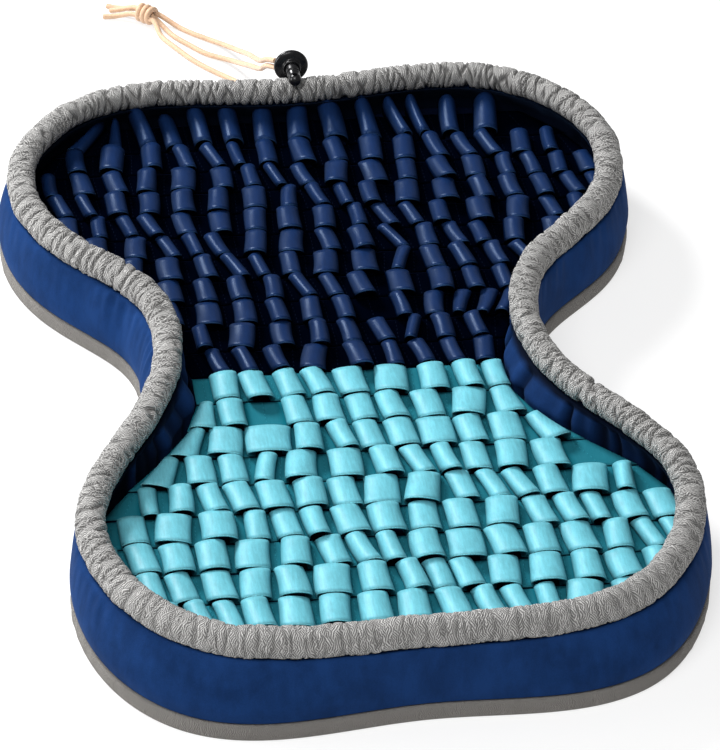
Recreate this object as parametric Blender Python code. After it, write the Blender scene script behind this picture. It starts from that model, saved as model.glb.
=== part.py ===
"""Snuffle mat in the shape of a bone: a padded floor with a padded wall round it, a ruched casing on
the wall's top edge with a drawcord in it, and rows of felt strips sewn down in loops to hide food in.

Metres, +Z up, the mat lying on z = 0 with its middle on the origin. The back, where the drawcord comes
out, is at +Y.
"""

import math
import random

import bmesh
import bpy
import numpy as np
from mathutils import Vector

SEAM_GAP = 0.0003  # pieces that are sewn together lie this far apart

# The casing's centre line seen from above, clockwise from the middle of the back.
# place, x, y, how far the foot of the wall stands outside the line
RIM_PLAN = (
    ("back middle", -0.0015, 0.2510, 0.0110),
    ("back right", 0.1165, 0.2500, 0.0107),
    ("back lobe, right", 0.1650, 0.1965, 0.0118),
    ("into the right waist", 0.1520, 0.1060, 0.0102),
    ("right waist, back", 0.1110, 0.0580, 0.0078),
    ("right waist, front", 0.1040, -0.0430, 0.0102),
    ("front lobe, right", 0.1525, -0.1360, 0.0106),
    ("front corner, right", 0.1347, -0.2169, 0.0138),
    ("front right", 0.1150, -0.2385, 0.0150),
    ("front middle", 0.0005, -0.2565, 0.0082),
    ("front left", -0.1125, -0.2415, 0.0176),
    ("front lobe, left", -0.1570, -0.1475, 0.0118),
    ("left waist, front", -0.1115, -0.0390, 0.0147),
    ("left waist, back", -0.1095, 0.0575, 0.0142),
    ("into the left waist", -0.1490, 0.1105, 0.0128),
    ("back lobe, left", -0.1635, 0.1995, 0.0138),
    ("back left", -0.1190, 0.2515, 0.0114),
)
PLAN_SAMPLES = 1440
RING_STATIONS = 104
WAIST_CENTRE_Y = 0.010
WAIST_REACH = 0.075
WAIST_EXTRA_STATIONS = 1.3  # how much closer together the stations are at the waist

# Base, the grey panel whose edge shows as a band along the floor
BASE_THICKNESS = 0.0100
BASE_EDGE_ROUND = 0.0012

# Casing: an oval tube whose long axis runs from its outer lower side to its inner upper side
CASING_CENTRE_Z = 0.0520
CASING_HALF_LONG = 0.0082
CASING_HALF_SHORT = 0.0073
CASING_LEAN = math.radians(34)  # of the long axis, from level
CASING_SIDES = 8
CASING_FIRST_SIDE = math.radians(-10)
RUCHE_PINCH = 0.10  # the tube is drawn in by this share at every second station

# Wall
WALL_INNER_FOOT_LOBE = 0.0025  # where its inner face stands, measured outward from the plan's line
WALL_INNER_FOOT_WAIST = -0.0150
WALL_BULGE_CENTRE_Y = -0.030  # where the wall is puffed in the most
WALL_BULGE_REACH = 0.060
WALL_SEAM_Z = BASE_THICKNESS + SEAM_GAP
OUTER_FOLD = 0.0011
OUTER_FOLD_LENGTH = 0.042
PLEAT_DEPTH = 0.0022
PLEAT_LENGTH = 0.030

# Floor pad
PAD_TOP_Z = 0.0290
PAD_CLEARANCE = 0.0005
PAD_EDGE_ROUND = 0.0015

# Felt strips
FELT = 0.0015
STRIP_FLOOR_Z = PAD_TOP_Z + SEAM_GAP
STRIP_END_CLEARANCE = 0.0022  # from the wall's inner foot
LOOP_CLEARANCE = 0.0060
STRIP_TILT = 0.05  # the rows run this much out of square with the mat
COLOUR_BORDER_Y = -0.0020
# colour, rows, pitch of the rows, width of one strip
STRIP_SETS = (
    ("navy", 11, 0.0226, 0.0222),
    ("teal", 10, 0.0247, 0.0243),
)
COLUMN_PITCH = 0.0186
COLUMN_SWAY = 0.0034
COLUMN_SWAY_LENGTH = 0.115
COLUMN_PHASE_STEP = 0.85  # radians from one column to the next
LEAST_FLAT = 0.0018  # sewn stretch between two loops
LOOP_HALF_WIDTHS = (0.0050, 0.0094)
LOOP_HEIGHTS = (0.0085, 0.0112)
LOOP_HEIGHT_BY_THE_WALL = 0.0030  # more, in the row nearest the wall at the back
LOOP_FULLNESS = (0.86, 1.04)
LEAST_HALF_WIDTH = 0.0042
LOOP_FOLLOWS_COLUMN = 0.55
LOOP_LEAN = 0.0012  # of a loop to the right on its way to the front
LOOP_LEAN_SPREAD = 0.0022
TWISTED_SHARE = 0.05  # of the loops, which lie askew
TWISTED_LEAN = 0.0055
WAIST_LOOPS_LEFT_OUT = 0.12
LOOP_SEED = 11
# The front row is a narrower strip, a little apart, and its loops stand square
FRONT_ROW_GAP = 0.0026
FRONT_ROW_WIDTH = 0.0165
FRONT_LOOP_HALF_WIDTH = 0.0070
FRONT_LOOP_HEIGHT = 0.0102

# Cord lock: it lies on the casing at the back with its mouth forward. Distances run back from the mouth.
LOCK_MOUTH = Vector((-0.0011, 0.2566, 0.06325))
LOCK_FORWARD = Vector((0.010, -0.996, 0.089)).normalized()
LOCK_SIDES = 20
PLUNGER_RADIUS = 0.00385
PLUNGER_CLEARANCE = 0.0002
PLUNGER_TRAVEL = 0.0040
PLUNGER_NECK = 0.0031
PLUNGER_EYELET_RADIUS = 0.0016
PLUNGER_TIP = -0.0134  # centre of its round end
PLUNGER_TAIL = 0.0045
LOCK_BORE_DEPTH = PLUNGER_TAIL + PLUNGER_TRAVEL + 0.0005
# distance back from the mouth, radius
LOCK_OUTSIDE = (
    (0.0000, 0.0048),
    (0.0006, 0.0053),
    (0.0020, 0.0056),
    (0.0024, 0.0080),
    (0.0032, 0.0097),
    (0.0044, 0.0103),
    (0.0058, 0.0099),
    (0.0074, 0.0087),
    (0.0090, 0.0070),
    (0.0100, 0.0050),
)

# Drawcord. Each route runs from where the strand comes out to the knot, which lies on the floor behind
# the mat, and each tail from the knot to its free end.
CORD_DIAMETER = 0.0033
CORD_POINT_SPACING = 0.0098
CORD_LIES_AT_Z = 0.0017
STRAND_ROUTES = {
    "cord_strand_top": (
        (-0.0098, 0.2655, 0.0643),
        (-0.0132, 0.2745, 0.0600),
        (-0.0150, 0.2897, 0.0500),
        (-0.0179, 0.3288, 0.0300),
        (-0.0209, 0.3626, 0.0125),
        (-0.0283, 0.3853, 0.0036),
        (-0.0371, 0.3963, CORD_LIES_AT_Z),
        (-0.0462, 0.4047, CORD_LIES_AT_Z),
        (-0.0549, 0.4140, 0.0024),
        (-0.0635, 0.4206, 0.0062),
    ),
    "cord_strand_middle": (
        (-0.0095, 0.2655, 0.0597),
        (-0.0133, 0.2742, 0.0558),
        (-0.0151, 0.2900, 0.0445),
        (-0.0183, 0.3230, 0.0260),
        (-0.0223, 0.3527, 0.0100),
        (-0.0300, 0.3709, 0.0026),
        (-0.0391, 0.3788, CORD_LIES_AT_Z),
        (-0.0478, 0.3894, CORD_LIES_AT_Z),
        (-0.0565, 0.4013, CORD_LIES_AT_Z),
        (-0.0617, 0.4110, 0.0024),
        (-0.0661, 0.4175, 0.0050),
    ),
    "cord_strand_low": (
        (-0.0120, 0.2606, 0.0484),
        (-0.0136, 0.2680, 0.0440),
        (-0.0158, 0.2850, 0.0315),
        (-0.0192, 0.3150, 0.0140),
        (-0.0245, 0.3420, 0.0030),
        (-0.0365, 0.3574, CORD_LIES_AT_Z),
        (-0.0495, 0.3744, CORD_LIES_AT_Z),
        (-0.0600, 0.3930, CORD_LIES_AT_Z),
        (-0.0660, 0.4070, 0.0026),
        (-0.0682, 0.4147, 0.0062),
    ),
}
TAIL_ROUTES = {
    "cord_tail_back": (
        (-0.0760, 0.4312, 0.0058),
        (-0.0816, 0.4358, 0.0038),
        (-0.0885, 0.4402, 0.0020),
        (-0.0950, 0.4440, CORD_LIES_AT_Z),
    ),
    "cord_tail_middle": (
        (-0.0784, 0.4285, 0.0085),
        (-0.0835, 0.4325, 0.0062),
        (-0.0890, 0.4360, 0.0032),
        (-0.0935, 0.4383, 0.0018),
    ),
    "cord_tail_front": (
        (-0.0809, 0.4257, 0.0058),
        (-0.0858, 0.4288, 0.0038),
        (-0.0925, 0.4306, 0.0020),
        (-0.0985, 0.4316, CORD_LIES_AT_Z),
    ),
}
KNOT_CENTRE = Vector((-0.0723, 0.4232, 0.0066))
KNOT_ALONG = Vector((-0.753, 0.658, 0.0)).normalized()
KNOT_SIDES = 12
# distance along the knot, radius: three turns of cord side by side
KNOT_PROFILE = (
    (-0.0072, 0.0054),
    (-0.0050, 0.0063),
    (-0.0026, 0.0056),
    (0.0000, 0.0065),
    (0.0026, 0.0056),
    (0.0050, 0.0063),
    (0.0072, 0.0054),
)

# name: colour, roughness
FINISHES = {
    "grey knit": ((0.33, 0.325, 0.31), 0.95),
    "grey base cloth": ((0.17, 0.16, 0.15), 0.95),
    "blue suede cloth": ((0.018, 0.052, 0.165), 0.85),
    "navy cloth": ((0.004, 0.008, 0.03), 0.95),
    "navy felt": ((0.010, 0.022, 0.070), 0.9),
    "teal felt": ((0.16, 0.60, 0.71), 0.9),
    "peach cord": ((0.80, 0.58, 0.40), 0.8),
    "black plastic": ((0.008, 0.008, 0.008), 0.25),
}


# ---- scene and materials


def clear_scene():
    for obj in list(bpy.data.objects):
        bpy.data.objects.remove(obj, do_unlink=True)


def finish(name):
    """The material of this name, made when it is first asked for."""
    found = bpy.data.materials.get(name)
    if found:
        return found
    colour, roughness = FINISHES[name]
    made = bpy.data.materials.new(name)
    made.use_nodes = True
    shader = made.node_tree.nodes["Principled BSDF"]
    shader.inputs["Base Color"].default_value = (*colour, 1.0)
    shader.inputs["Roughness"].default_value = roughness
    return made


def add_object(name, bm, finish_name, smooth_below=50):
    bmesh.ops.recalc_face_normals(bm, faces=bm.faces)
    mesh = bpy.data.meshes.new(name)
    bm.to_mesh(mesh)
    bm.free()
    mesh.shade_smooth()
    mesh.set_sharp_from_angle(angle=math.radians(smooth_below))
    mesh.materials.append(finish(finish_name))
    obj = bpy.data.objects.new(name, mesh)
    bpy.context.scene.collection.objects.link(obj)
    return obj


# ---- the plan and what is measured from it


def closed_spline(knots, values, at):
    """A smooth closed curve through the values: cubic in each span, with no break in slope or bend."""
    spans = np.diff(knots)
    count = len(spans)
    system = np.zeros((count, count))
    right = np.zeros((count, values.shape[1]))
    for i in range(count):
        before, after = spans[i - 1], spans[i]
        system[i, i - 1] += before
        system[i, i] += 2 * (before + after)
        system[i, (i + 1) % count] += after
        right[i] = 6 * (
            (values[(i + 1) % count] - values[i]) / after - (values[i] - values[i - 1]) / before
        )
    bends = np.linalg.solve(system, right)
    span = np.clip(np.searchsorted(knots, at, side="right") - 1, 0, count - 1)
    ahead = (span + 1) % count
    width = spans[span][:, None]
    left = (np.asarray(at) - knots[span])[:, None]
    rest = width - left
    return (
        bends[span] * rest**3 / (6 * width)
        + bends[ahead] * left**3 / (6 * width)
        + (values[span] / width - bends[span] * width / 6) * rest
        + (values[ahead] / width - bends[ahead] * width / 6) * left
    )


def waist_share(y):
    return math.exp(-(((y - WAIST_CENTRE_Y) / WAIST_REACH) ** 2))


class Plan:
    """The casing's centre line, sampled finely: place, outward direction, foot and distance run."""

    def __init__(self):
        table = np.array([row[1:] for row in RIM_PLAN])
        loop = np.vstack([table, table[:1]])
        steps = np.hypot(*np.diff(loop[:, :2], axis=0).T)
        knots = np.concatenate([[0.0], np.cumsum(steps)])
        at = np.linspace(0.0, knots[-1], PLAN_SAMPLES, endpoint=False)
        fine = closed_spline(knots, table, at)
        self.place = fine[:, :2]
        self.foot = fine[:, 2]
        along = np.roll(self.place, -1, axis=0) - np.roll(self.place, 1, axis=0)
        along /= np.linalg.norm(along, axis=1)[:, None]
        self.outward = np.stack([-along[:, 1], along[:, 0]], axis=1)
        steps = np.linalg.norm(np.roll(self.place, -1, axis=0) - self.place, axis=1)
        self.run = np.concatenate([[0.0], np.cumsum(steps)[:-1]])
        self.length = float(steps.sum())
        self.waist = np.array([waist_share(y) for y in self.place[:, 1]])
        bulge = np.exp(-(((self.place[:, 1] - WALL_BULGE_CENTRE_Y) / WALL_BULGE_REACH) ** 2))
        self.inner_foot = WALL_INNER_FOOT_LOBE + bulge * (WALL_INNER_FOOT_WAIST - WALL_INNER_FOOT_LOBE)
        self.stations = self.spread_stations(steps)

    def spread_stations(self, steps):
        """Numbers of the samples that the rings use, closer together at the waist."""
        weight = np.cumsum(steps * (1 + WAIST_EXTRA_STATIONS * self.waist))
        wanted = (np.arange(RING_STATIONS) + 0.5) / RING_STATIONS * weight[-1]
        return np.searchsorted(weight, wanted)

    def at(self, sample, outward, z):
        x, y = self.place[sample] + outward * self.outward[sample]
        return (x, y, z)

    def inner_outline(self, clearance):
        return self.place + (self.inner_foot - clearance)[:, None] * self.outward


# ---- rings and slabs that follow the plan


def ring_body(name, plan, section, finish_name):
    """One closed tube round the plan. section(number, sample) gives its (outward, z) points."""
    bm = bmesh.new()
    rings = []
    for number, sample in enumerate(plan.stations):
        points = section(number, sample)
        rings.append([bm.verts.new(plan.at(sample, outward, z)) for outward, z in points])
    for number, ring in enumerate(rings):
        following = rings[(number + 1) % len(rings)]
        sides = len(ring)
        for side in range(sides):
            other = (side + 1) % sides
            bm.faces.new((ring[side], ring[other], following[other], following[side]))
    return add_object(name, bm, finish_name)


def slab_body(name, plan, levels, finish_name):
    """A slab of the plan's outline. levels gives (z, outward from sample) from its underside up."""
    bm = bmesh.new()
    rings = [
        [bm.verts.new(plan.at(sample, outward(sample), z)) for sample in plan.stations]
        for z, outward in levels
    ]
    for lower, upper in zip(rings, rings[1:]):
        count = len(lower)
        for i in range(count):
            j = (i + 1) % count
            bm.faces.new((lower[i], lower[j], upper[j], upper[i]))
    bm.faces.new(list(reversed(rings[0])))
    bm.faces.new(rings[-1])
    return add_object(name, bm, finish_name)


def casing_point(turn, grow=0.0, scale=1.0):
    """A corner of the casing's oval, as (outward, z)."""
    long_way = scale * CASING_HALF_LONG + grow
    short_way = scale * CASING_HALF_SHORT + grow
    u = long_way * math.cos(turn)
    v = short_way * math.sin(turn)
    outward = u * math.cos(CASING_LEAN) + v * math.sin(CASING_LEAN)
    up = -u * math.sin(CASING_LEAN) + v * math.cos(CASING_LEAN)
    return outward, CASING_CENTRE_Z + up


def casing_turn(side):
    return CASING_FIRST_SIDE - side * 2 * math.pi / CASING_SIDES


def casing_section(number, _sample):
    scale = 1.0 if number % 2 else 1.0 - RUCHE_PINCH
    return [casing_point(casing_turn(side), scale=scale) for side in range(CASING_SIDES)]


def make_wall(plan):
    saddle = [casing_point(casing_turn(side), grow=SEAM_GAP + 0.0001) for side in (0, 1, 2)]

    def section(_number, sample):
        foot = plan.foot[sample]
        inner = plan.inner_foot[sample]
        run = plan.run[sample]
        waist = plan.waist[sample]
        fold = OUTER_FOLD * waist * math.sin(2 * math.pi * run / OUTER_FOLD_LENGTH)
        pleat = PLEAT_DEPTH * (0.25 + 0.75 * waist) * (0.5 + 0.5 * math.sin(2 * math.pi * run / PLEAT_LENGTH))
        return [
            (foot - 0.0006, WALL_SEAM_Z),
            (foot + 0.0004 + fold, 0.0210),
            (0.45 * foot + 0.0047 + fold, 0.0370),
            *saddle,
            (0.5 * inner - 0.0036 - pleat, 0.0412),
            (inner - 0.0004 - pleat, 0.0345),
            (inner, 0.0285),
            (inner, WALL_SEAM_Z),
        ]

    return ring_body("wall", plan, section, "blue suede cloth")


def make_base(plan):
    def edge(inset):
        return lambda sample: plan.foot[sample] - inset

    levels = (
        (0.0, edge(BASE_EDGE_ROUND)),
        (BASE_EDGE_ROUND, edge(0.0)),
        (BASE_THICKNESS, edge(0.0)),
    )
    return slab_body("base", plan, levels, "grey base cloth")


def make_floor_pad(plan):
    def edge(inset):
        return lambda sample: plan.inner_foot[sample] - PAD_CLEARANCE - inset

    levels = (
        (WALL_SEAM_Z, edge(0.0)),
        (PAD_TOP_Z - PAD_EDGE_ROUND, edge(0.0)),
        (PAD_TOP_Z, edge(PAD_EDGE_ROUND)),
    )
    return slab_body("floor_pad", plan, levels, "navy cloth")


# ---- felt strips


def reach_at(outline, y):
    """How far left and right the outline lies from the mat's middle, at this y of the tilted rows."""
    level = outline[:, 1] + STRIP_TILT * outline[:, 0]
    crossings = []
    for i in range(len(outline)):
        a, b = level[i - 1], level[i]
        if (a - y) * (b - y) < 0:
            share = (y - a) / (b - a)
            crossings.append(outline[i - 1, 0] + share * (outline[i, 0] - outline[i - 1, 0]))
    return max(x for x in crossings if x < 0), min(x for x in crossings if x > 0)


def column_x(column, y):
    phase = COLUMN_PHASE_STEP * column
    turns = 2 * math.pi * y / COLUMN_SWAY_LENGTH
    sway = math.sin(turns + phase) + 0.45 * math.sin(2.3 * turns + 1.7 * phase)
    return COLUMN_PITCH * column + COLUMN_SWAY * sway


def wanted_loops(y_back, y_front, square, taller, chance):
    """Each column's loop in one strip: its middle at the back and front edges, half width, height."""
    y_middle = (y_back + y_front) / 2
    for column in range(-9, 10):
        fullness, tallness, keep, lean, twist = (chance.random() for _ in range(5))
        if square:
            x = COLUMN_PITCH * column
            yield x, x, FRONT_LOOP_HALF_WIDTH, FRONT_LOOP_HEIGHT
            continue
        if keep < WAIST_LOOPS_LEFT_OUT * waist_share(y_middle):
            continue
        x = column_x(column, y_middle)
        room = min(column_x(column + 1, y_middle) - x, x - column_x(column - 1, y_middle)) / 2
        low, high = LOOP_FULLNESS
        half = (room - LEAST_FLAT / 2) * (low + (high - low) * fullness)
        half = min(max(half, LOOP_HALF_WIDTHS[0]), LOOP_HALF_WIDTHS[1])
        skew = LOOP_FOLLOWS_COLUMN * (column_x(column, y_front) - column_x(column, y_back))
        skew += LOOP_LEAN + (2 * lean - 1) * LOOP_LEAN_SPREAD
        if twist < TWISTED_SHARE:
            skew += math.copysign(TWISTED_LEAN, lean - 0.35)
            half = LOOP_HALF_WIDTHS[0]
        low, high = LOOP_HEIGHTS
        yield x - skew / 2, x + skew / 2, half, low + (high - low) * tallness + taller


def plan_loops(y_back, y_front, square, taller, outline, chance):
    """The loops that fit between the walls, moved or narrowed where two would be too close."""
    limits = [reach_at(outline, y) for y in (y_back, y_front)]
    left = max(low for low, _ in limits)
    right = min(high for _, high in limits)
    loops = []
    last = [left - LEAST_FLAT] * 2
    for at_back, at_front, half, height in wanted_loops(y_back, y_front, square, taller, chance):
        over = max(last[0] + LEAST_FLAT - at_back, last[1] + LEAST_FLAT - at_front) + half
        if over > half:
            continue
        if over > 0:
            at_back, at_front, half = at_back + over / 2, at_front + over / 2, half - over / 2
        spare = right - max(at_back, at_front) - half
        if spare < 0:
            at_back, at_front, half = at_back + spare / 2, at_front + spare / 2, half + spare / 2
        if half < LEAST_HALF_WIDTH:
            continue
        last = [at_back + half, at_front + half]
        loops.append(((at_back, at_front), half, height))
    return loops


def strip_path(loops, edge, ends):
    """The underside of the strip's cross-section at one edge, from its left end to its right end."""
    path = [(ends[0], 0.0)]
    for middles, half, height in loops:
        middle = middles[edge]
        inner, top = half - FELT, height - FELT
        path += [
            (middle - inner, 0.0),
            (middle - 0.76 * inner, 0.74 * top),
            (middle, top),
            (middle + 0.76 * inner, 0.74 * top),
            (middle + inner, 0.0),
        ]
    path.append((ends[1], 0.0))
    return path


def raised(path):
    """The same path moved a felt's thickness away from its underside."""
    points = [Vector(point) for point in path]
    moved = []
    for i, point in enumerate(points):
        sides = []
        if i:
            sides.append((point - points[i - 1]).normalized())
        if i < len(points) - 1:
            sides.append((points[i + 1] - point).normalized())
        normals = [Vector((-side.y, side.x)) for side in sides]
        normal = sum(normals, Vector((0.0, 0.0))).normalized()
        moved.append(point + normal * FELT / normal.dot(normals[0]))
    return moved


def make_strip(name, y_back, y_front, square, taller, outlines, finish_name, chance):
    loops = plan_loops(y_back, y_front, square, taller, outlines["loops"], chance)
    edges = []
    for edge, y in enumerate((y_back, y_front)):
        under = strip_path(loops, edge, reach_at(outlines["ends"], y))
        edges.append((y, under, raised(under)))
    bm = bmesh.new()

    def corner(x, z, y):
        return bm.verts.new((x, y - STRIP_TILT * x, STRIP_FLOOR_Z + z))

    (under_back, over_back), (under_front, over_front) = (
        [[corner(x, z, y) for x, z in path] for path in (under, over)] for y, under, over in edges
    )
    for i in range(len(under_back) - 1):
        j = i + 1
        bm.faces.new((over_back[i], over_front[i], over_front[j], over_back[j]))
        bm.faces.new((under_back[i], under_back[j], under_front[j], under_front[i]))
        bm.faces.new((under_front[i], under_front[j], over_front[j], over_front[i]))
        bm.faces.new((under_back[j], under_back[i], over_back[i], over_back[j]))
    bm.faces.new((under_back[0], under_front[0], over_front[0], over_back[0]))
    bm.faces.new((under_back[-1], over_back[-1], over_front[-1], under_front[-1]))
    return add_object(name, bm, finish_name, smooth_below=60)


def make_strips(plan):
    """Rows from the border of the two colours outwards: navy to the back, teal to the front."""
    chance = random.Random(LOOP_SEED)
    outlines = {
        "ends": plan.inner_outline(STRIP_END_CLEARANCE),
        "loops": plan.inner_outline(LOOP_CLEARANCE),
    }
    for colour, rows, pitch, width in STRIP_SETS:
        for row in range(rows):
            if colour == "navy":
                y_back = COLOUR_BORDER_Y + (row + 1) * pitch
            else:
                y_back = COLOUR_BORDER_Y - row * pitch
            last = row == rows - 1
            square = last and colour == "teal"
            y_front = y_back - width
            if square:
                y_back -= FRONT_ROW_GAP
                y_front = y_back - FRONT_ROW_WIDTH
            taller = LOOP_HEIGHT_BY_THE_WALL if last else 0.0
            name = f"strip_{colour}_{row + 1:02d}"
            make_strip(name, y_back, y_front, square, taller, outlines, f"{colour} felt", chance)


# ---- cord, knot and lock


def open_spline(points, spacing):
    """Even points on a smooth curve through the route's points."""
    route = np.array(points)
    knots = np.concatenate([[0.0], np.cumsum(np.linalg.norm(np.diff(route, axis=0), axis=1))])
    spans = np.diff(knots)
    count = len(knots)
    system = np.eye(count)
    right = np.zeros((count, 3))
    for i in range(1, count - 1):
        system[i, i - 1 : i + 2] = spans[i - 1], 2 * (spans[i - 1] + spans[i]), spans[i]
        right[i] = 6 * (
            (route[i + 1] - route[i]) / spans[i] - (route[i] - route[i - 1]) / spans[i - 1]
        )
    bends = np.linalg.solve(system, right)
    pieces = max(2, round(knots[-1] / spacing))
    at = np.linspace(0.0, knots[-1], pieces + 1)
    span = np.clip(np.searchsorted(knots, at, side="right") - 1, 0, count - 2)
    width = spans[span][:, None]
    left = (at - knots[span])[:, None]
    rest = width - left
    return (
        bends[span] * rest**3 / (6 * width)
        + bends[span + 1] * left**3 / (6 * width)
        + (route[span] / width - bends[span] * width / 6) * rest
        + (route[span + 1] / width - bends[span + 1] * width / 6) * left
    )


def make_cord(name, route):
    points = open_spline(route, CORD_POINT_SPACING)
    points[:, 2] = np.maximum(points[:, 2], CORD_LIES_AT_Z)
    curve = bpy.data.curves.new(name, "CURVE")
    curve.dimensions = "3D"
    curve.bevel_depth = CORD_DIAMETER / 2
    curve.bevel_resolution = 2
    curve.use_fill_caps = True
    spline = curve.splines.new("POLY")
    spline.points.add(len(points) - 1)
    for point, place in zip(spline.points, points):
        point.co = (*place, 1.0)
    curve.materials.append(finish("peach cord"))
    obj = bpy.data.objects.new(name, curve)
    bpy.context.scene.collection.objects.link(obj)
    return obj


def turned(name, profile, sides, origin, along, finish_name):
    """A profile of (distance along, radius) spun round the line through origin, its ends closed."""
    bm = bmesh.new()
    rings = []
    for distance, radius in profile:
        ring = [
            bm.verts.new(
                (
                    radius * math.cos(2 * math.pi * side / sides),
                    radius * math.sin(2 * math.pi * side / sides),
                    distance,
                )
            )
            for side in range(sides)
        ]
        rings.append(ring)
    for lower, upper in zip(rings, rings[1:]):
        bmesh.ops.bridge_loops(bm, edges=ring_edges(bm, lower) + ring_edges(bm, upper))
    bm.faces.new(rings[0])
    bm.faces.new(rings[-1])
    turn = along.to_track_quat("Z", "Y").to_matrix().to_4x4()
    bmesh.ops.transform(bm, matrix=turn, verts=bm.verts)
    bmesh.ops.translate(bm, vec=origin, verts=bm.verts)
    return add_object(name, bm, finish_name, smooth_below=40)


def ring_edges(bm, ring):
    edges = []
    for i, vert in enumerate(ring):
        pair = (ring[i - 1], vert)
        edges.append(bm.edges.get(pair) or bm.edges.new(pair))
    return edges


def make_knot():
    return turned("cord_knot", KNOT_PROFILE, KNOT_SIDES, KNOT_CENTRE, KNOT_ALONG, "peach cord")


def make_lock_body():
    bore = PLUNGER_RADIUS + PLUNGER_CLEARANCE
    profile = ((LOCK_BORE_DEPTH, bore), (0.0004, bore), *LOCK_OUTSIDE)
    return turned("lock_body", profile, LOCK_SIDES, LOCK_MOUTH, -LOCK_FORWARD, "black plastic")


def make_lock_plunger():
    """A rod with a round end and an eyelet through it. Its origin lies on the line that it slides along."""
    profile = [
        (PLUNGER_TAIL, 0.8 * PLUNGER_RADIUS),
        (PLUNGER_TAIL - 0.0006, PLUNGER_RADIUS),
        (PLUNGER_TIP + 0.0054, PLUNGER_RADIUS),
        (PLUNGER_TIP + 0.0042, PLUNGER_NECK),
    ]
    for turn in (-38, -15, 10, 35, 58, 80):
        angle = math.radians(turn)
        profile.append(
            (PLUNGER_TIP - PLUNGER_RADIUS * math.sin(angle), PLUNGER_RADIUS * math.cos(angle))
        )
    plunger = turned(
        "lock_plunger", profile, LOCK_SIDES, Vector((0, 0, 0)), -LOCK_FORWARD, "black plastic"
    )
    plunger.location = LOCK_MOUTH
    eyelet = turned(
        "eyelet_cutter",
        ((-0.01, PLUNGER_EYELET_RADIUS), (0.01, PLUNGER_EYELET_RADIUS)),
        KNOT_SIDES,
        LOCK_MOUTH + LOCK_FORWARD * -PLUNGER_TIP,
        Vector((0, 0, 1)),
        "black plastic",
    )
    eyelet.hide_render = True
    eyelet.display_type = "WIRE"
    cut = plunger.modifiers.new("eyelet", "BOOLEAN")
    cut.operation = "DIFFERENCE"
    cut.solver = "EXACT"
    cut.object = eyelet
    return plunger


def main():
    clear_scene()
    plan = Plan()
    make_base(plan)
    make_floor_pad(plan)
    make_wall(plan)
    ring_body("rim_casing", plan, casing_section, "grey knit")
    make_strips(plan)
    for name, route in (STRAND_ROUTES | TAIL_ROUTES).items():
        make_cord(name, route)
    make_knot()
    make_lock_body()
    make_lock_plunger()


main()
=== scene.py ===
"""Looks of the bone-shaped snuffle mat: padded blue wall, ruched grey casing with its drawcord and
lock, grey base band, and rows of navy and teal felt strips sewn down in loops.

Metres, +Z up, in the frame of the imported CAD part. The back of the mat, where the drawcord comes out,
is at +Y.
"""

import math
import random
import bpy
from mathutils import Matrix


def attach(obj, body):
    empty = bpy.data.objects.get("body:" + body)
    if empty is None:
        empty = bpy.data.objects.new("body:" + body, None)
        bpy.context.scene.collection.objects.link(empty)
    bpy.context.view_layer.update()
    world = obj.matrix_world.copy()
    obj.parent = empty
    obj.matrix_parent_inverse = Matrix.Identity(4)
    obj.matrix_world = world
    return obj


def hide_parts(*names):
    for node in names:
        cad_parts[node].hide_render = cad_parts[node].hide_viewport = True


bl_info = {
    "name": "Snuffle mat",
    "version": (1, 0, 0),
    "blender": (4, 5, 0),
    "location": "View3D > Sidebar > Snuffle mat",
    "description": "Builds a bone-shaped snuffle mat with looped felt strips, piece by piece",
    "category": "Add Mesh",
}

import bmesh
import bpy
import numpy as np
from bpy.props import FloatProperty, FloatVectorProperty, IntProperty, PointerProperty
from mathutils import Matrix, Vector

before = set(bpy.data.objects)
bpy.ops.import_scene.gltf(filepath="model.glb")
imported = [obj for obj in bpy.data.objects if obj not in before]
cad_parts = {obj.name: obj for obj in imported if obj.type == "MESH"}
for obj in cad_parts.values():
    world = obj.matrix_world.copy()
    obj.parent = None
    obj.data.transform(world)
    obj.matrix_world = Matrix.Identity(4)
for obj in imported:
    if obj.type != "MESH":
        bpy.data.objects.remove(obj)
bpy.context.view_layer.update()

SEAM_GAP = 0.0003  # pieces that are sewn together lie this far apart

# The casing's centre line seen from above, clockwise from the middle of the back. The places were fitted to
# the outlines in the photograph and rounded, apart from the right front corner, which was set as listed.
# place, x, y, how far the foot of the wall stands outside the line
RIM_PLAN = (
    ("back middle", -0.0015, 0.2510, 0.0110),
    ("back right", 0.1165, 0.2500, 0.0107),
    ("back lobe, right", 0.1650, 0.1965, 0.0118),
    ("into the right waist", 0.1520, 0.1060, 0.0102),
    ("right waist, back", 0.1110, 0.0580, 0.0078),
    ("right waist, front", 0.1040, -0.0430, 0.0102),
    ("front lobe, right", 0.1525, -0.1360, 0.0106),
    ("front corner, right", 0.1347, -0.2169, 0.0138),
    ("front right", 0.1150, -0.2385, 0.0150),
    ("front middle", 0.0005, -0.2565, 0.0082),
    ("front left", -0.1125, -0.2415, 0.0176),
    ("front lobe, left", -0.1570, -0.1475, 0.0118),
    ("left waist, front", -0.1115, -0.0390, 0.0147),
    ("left waist, back", -0.1095, 0.0575, 0.0142),
    ("into the left waist", -0.1490, 0.1105, 0.0128),
    ("back lobe, left", -0.1635, 0.1995, 0.0138),
    ("back left", -0.1190, 0.2515, 0.0114),
)
WAIST_CENTRE_Y = 0.010
WAIST_REACH = 0.075

BASE_THICKNESS = 0.0100
WALL_SEAM_Z = BASE_THICKNESS + SEAM_GAP
WALL_INNER_FOOT_LOBE = 0.0025
WALL_INNER_FOOT_WAIST = -0.0150
WALL_BULGE_CENTRE_Y = -0.030
WALL_BULGE_REACH = 0.060
PAD_TOP_Z = 0.0290
PAD_CLEARANCE = 0.0005

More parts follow.
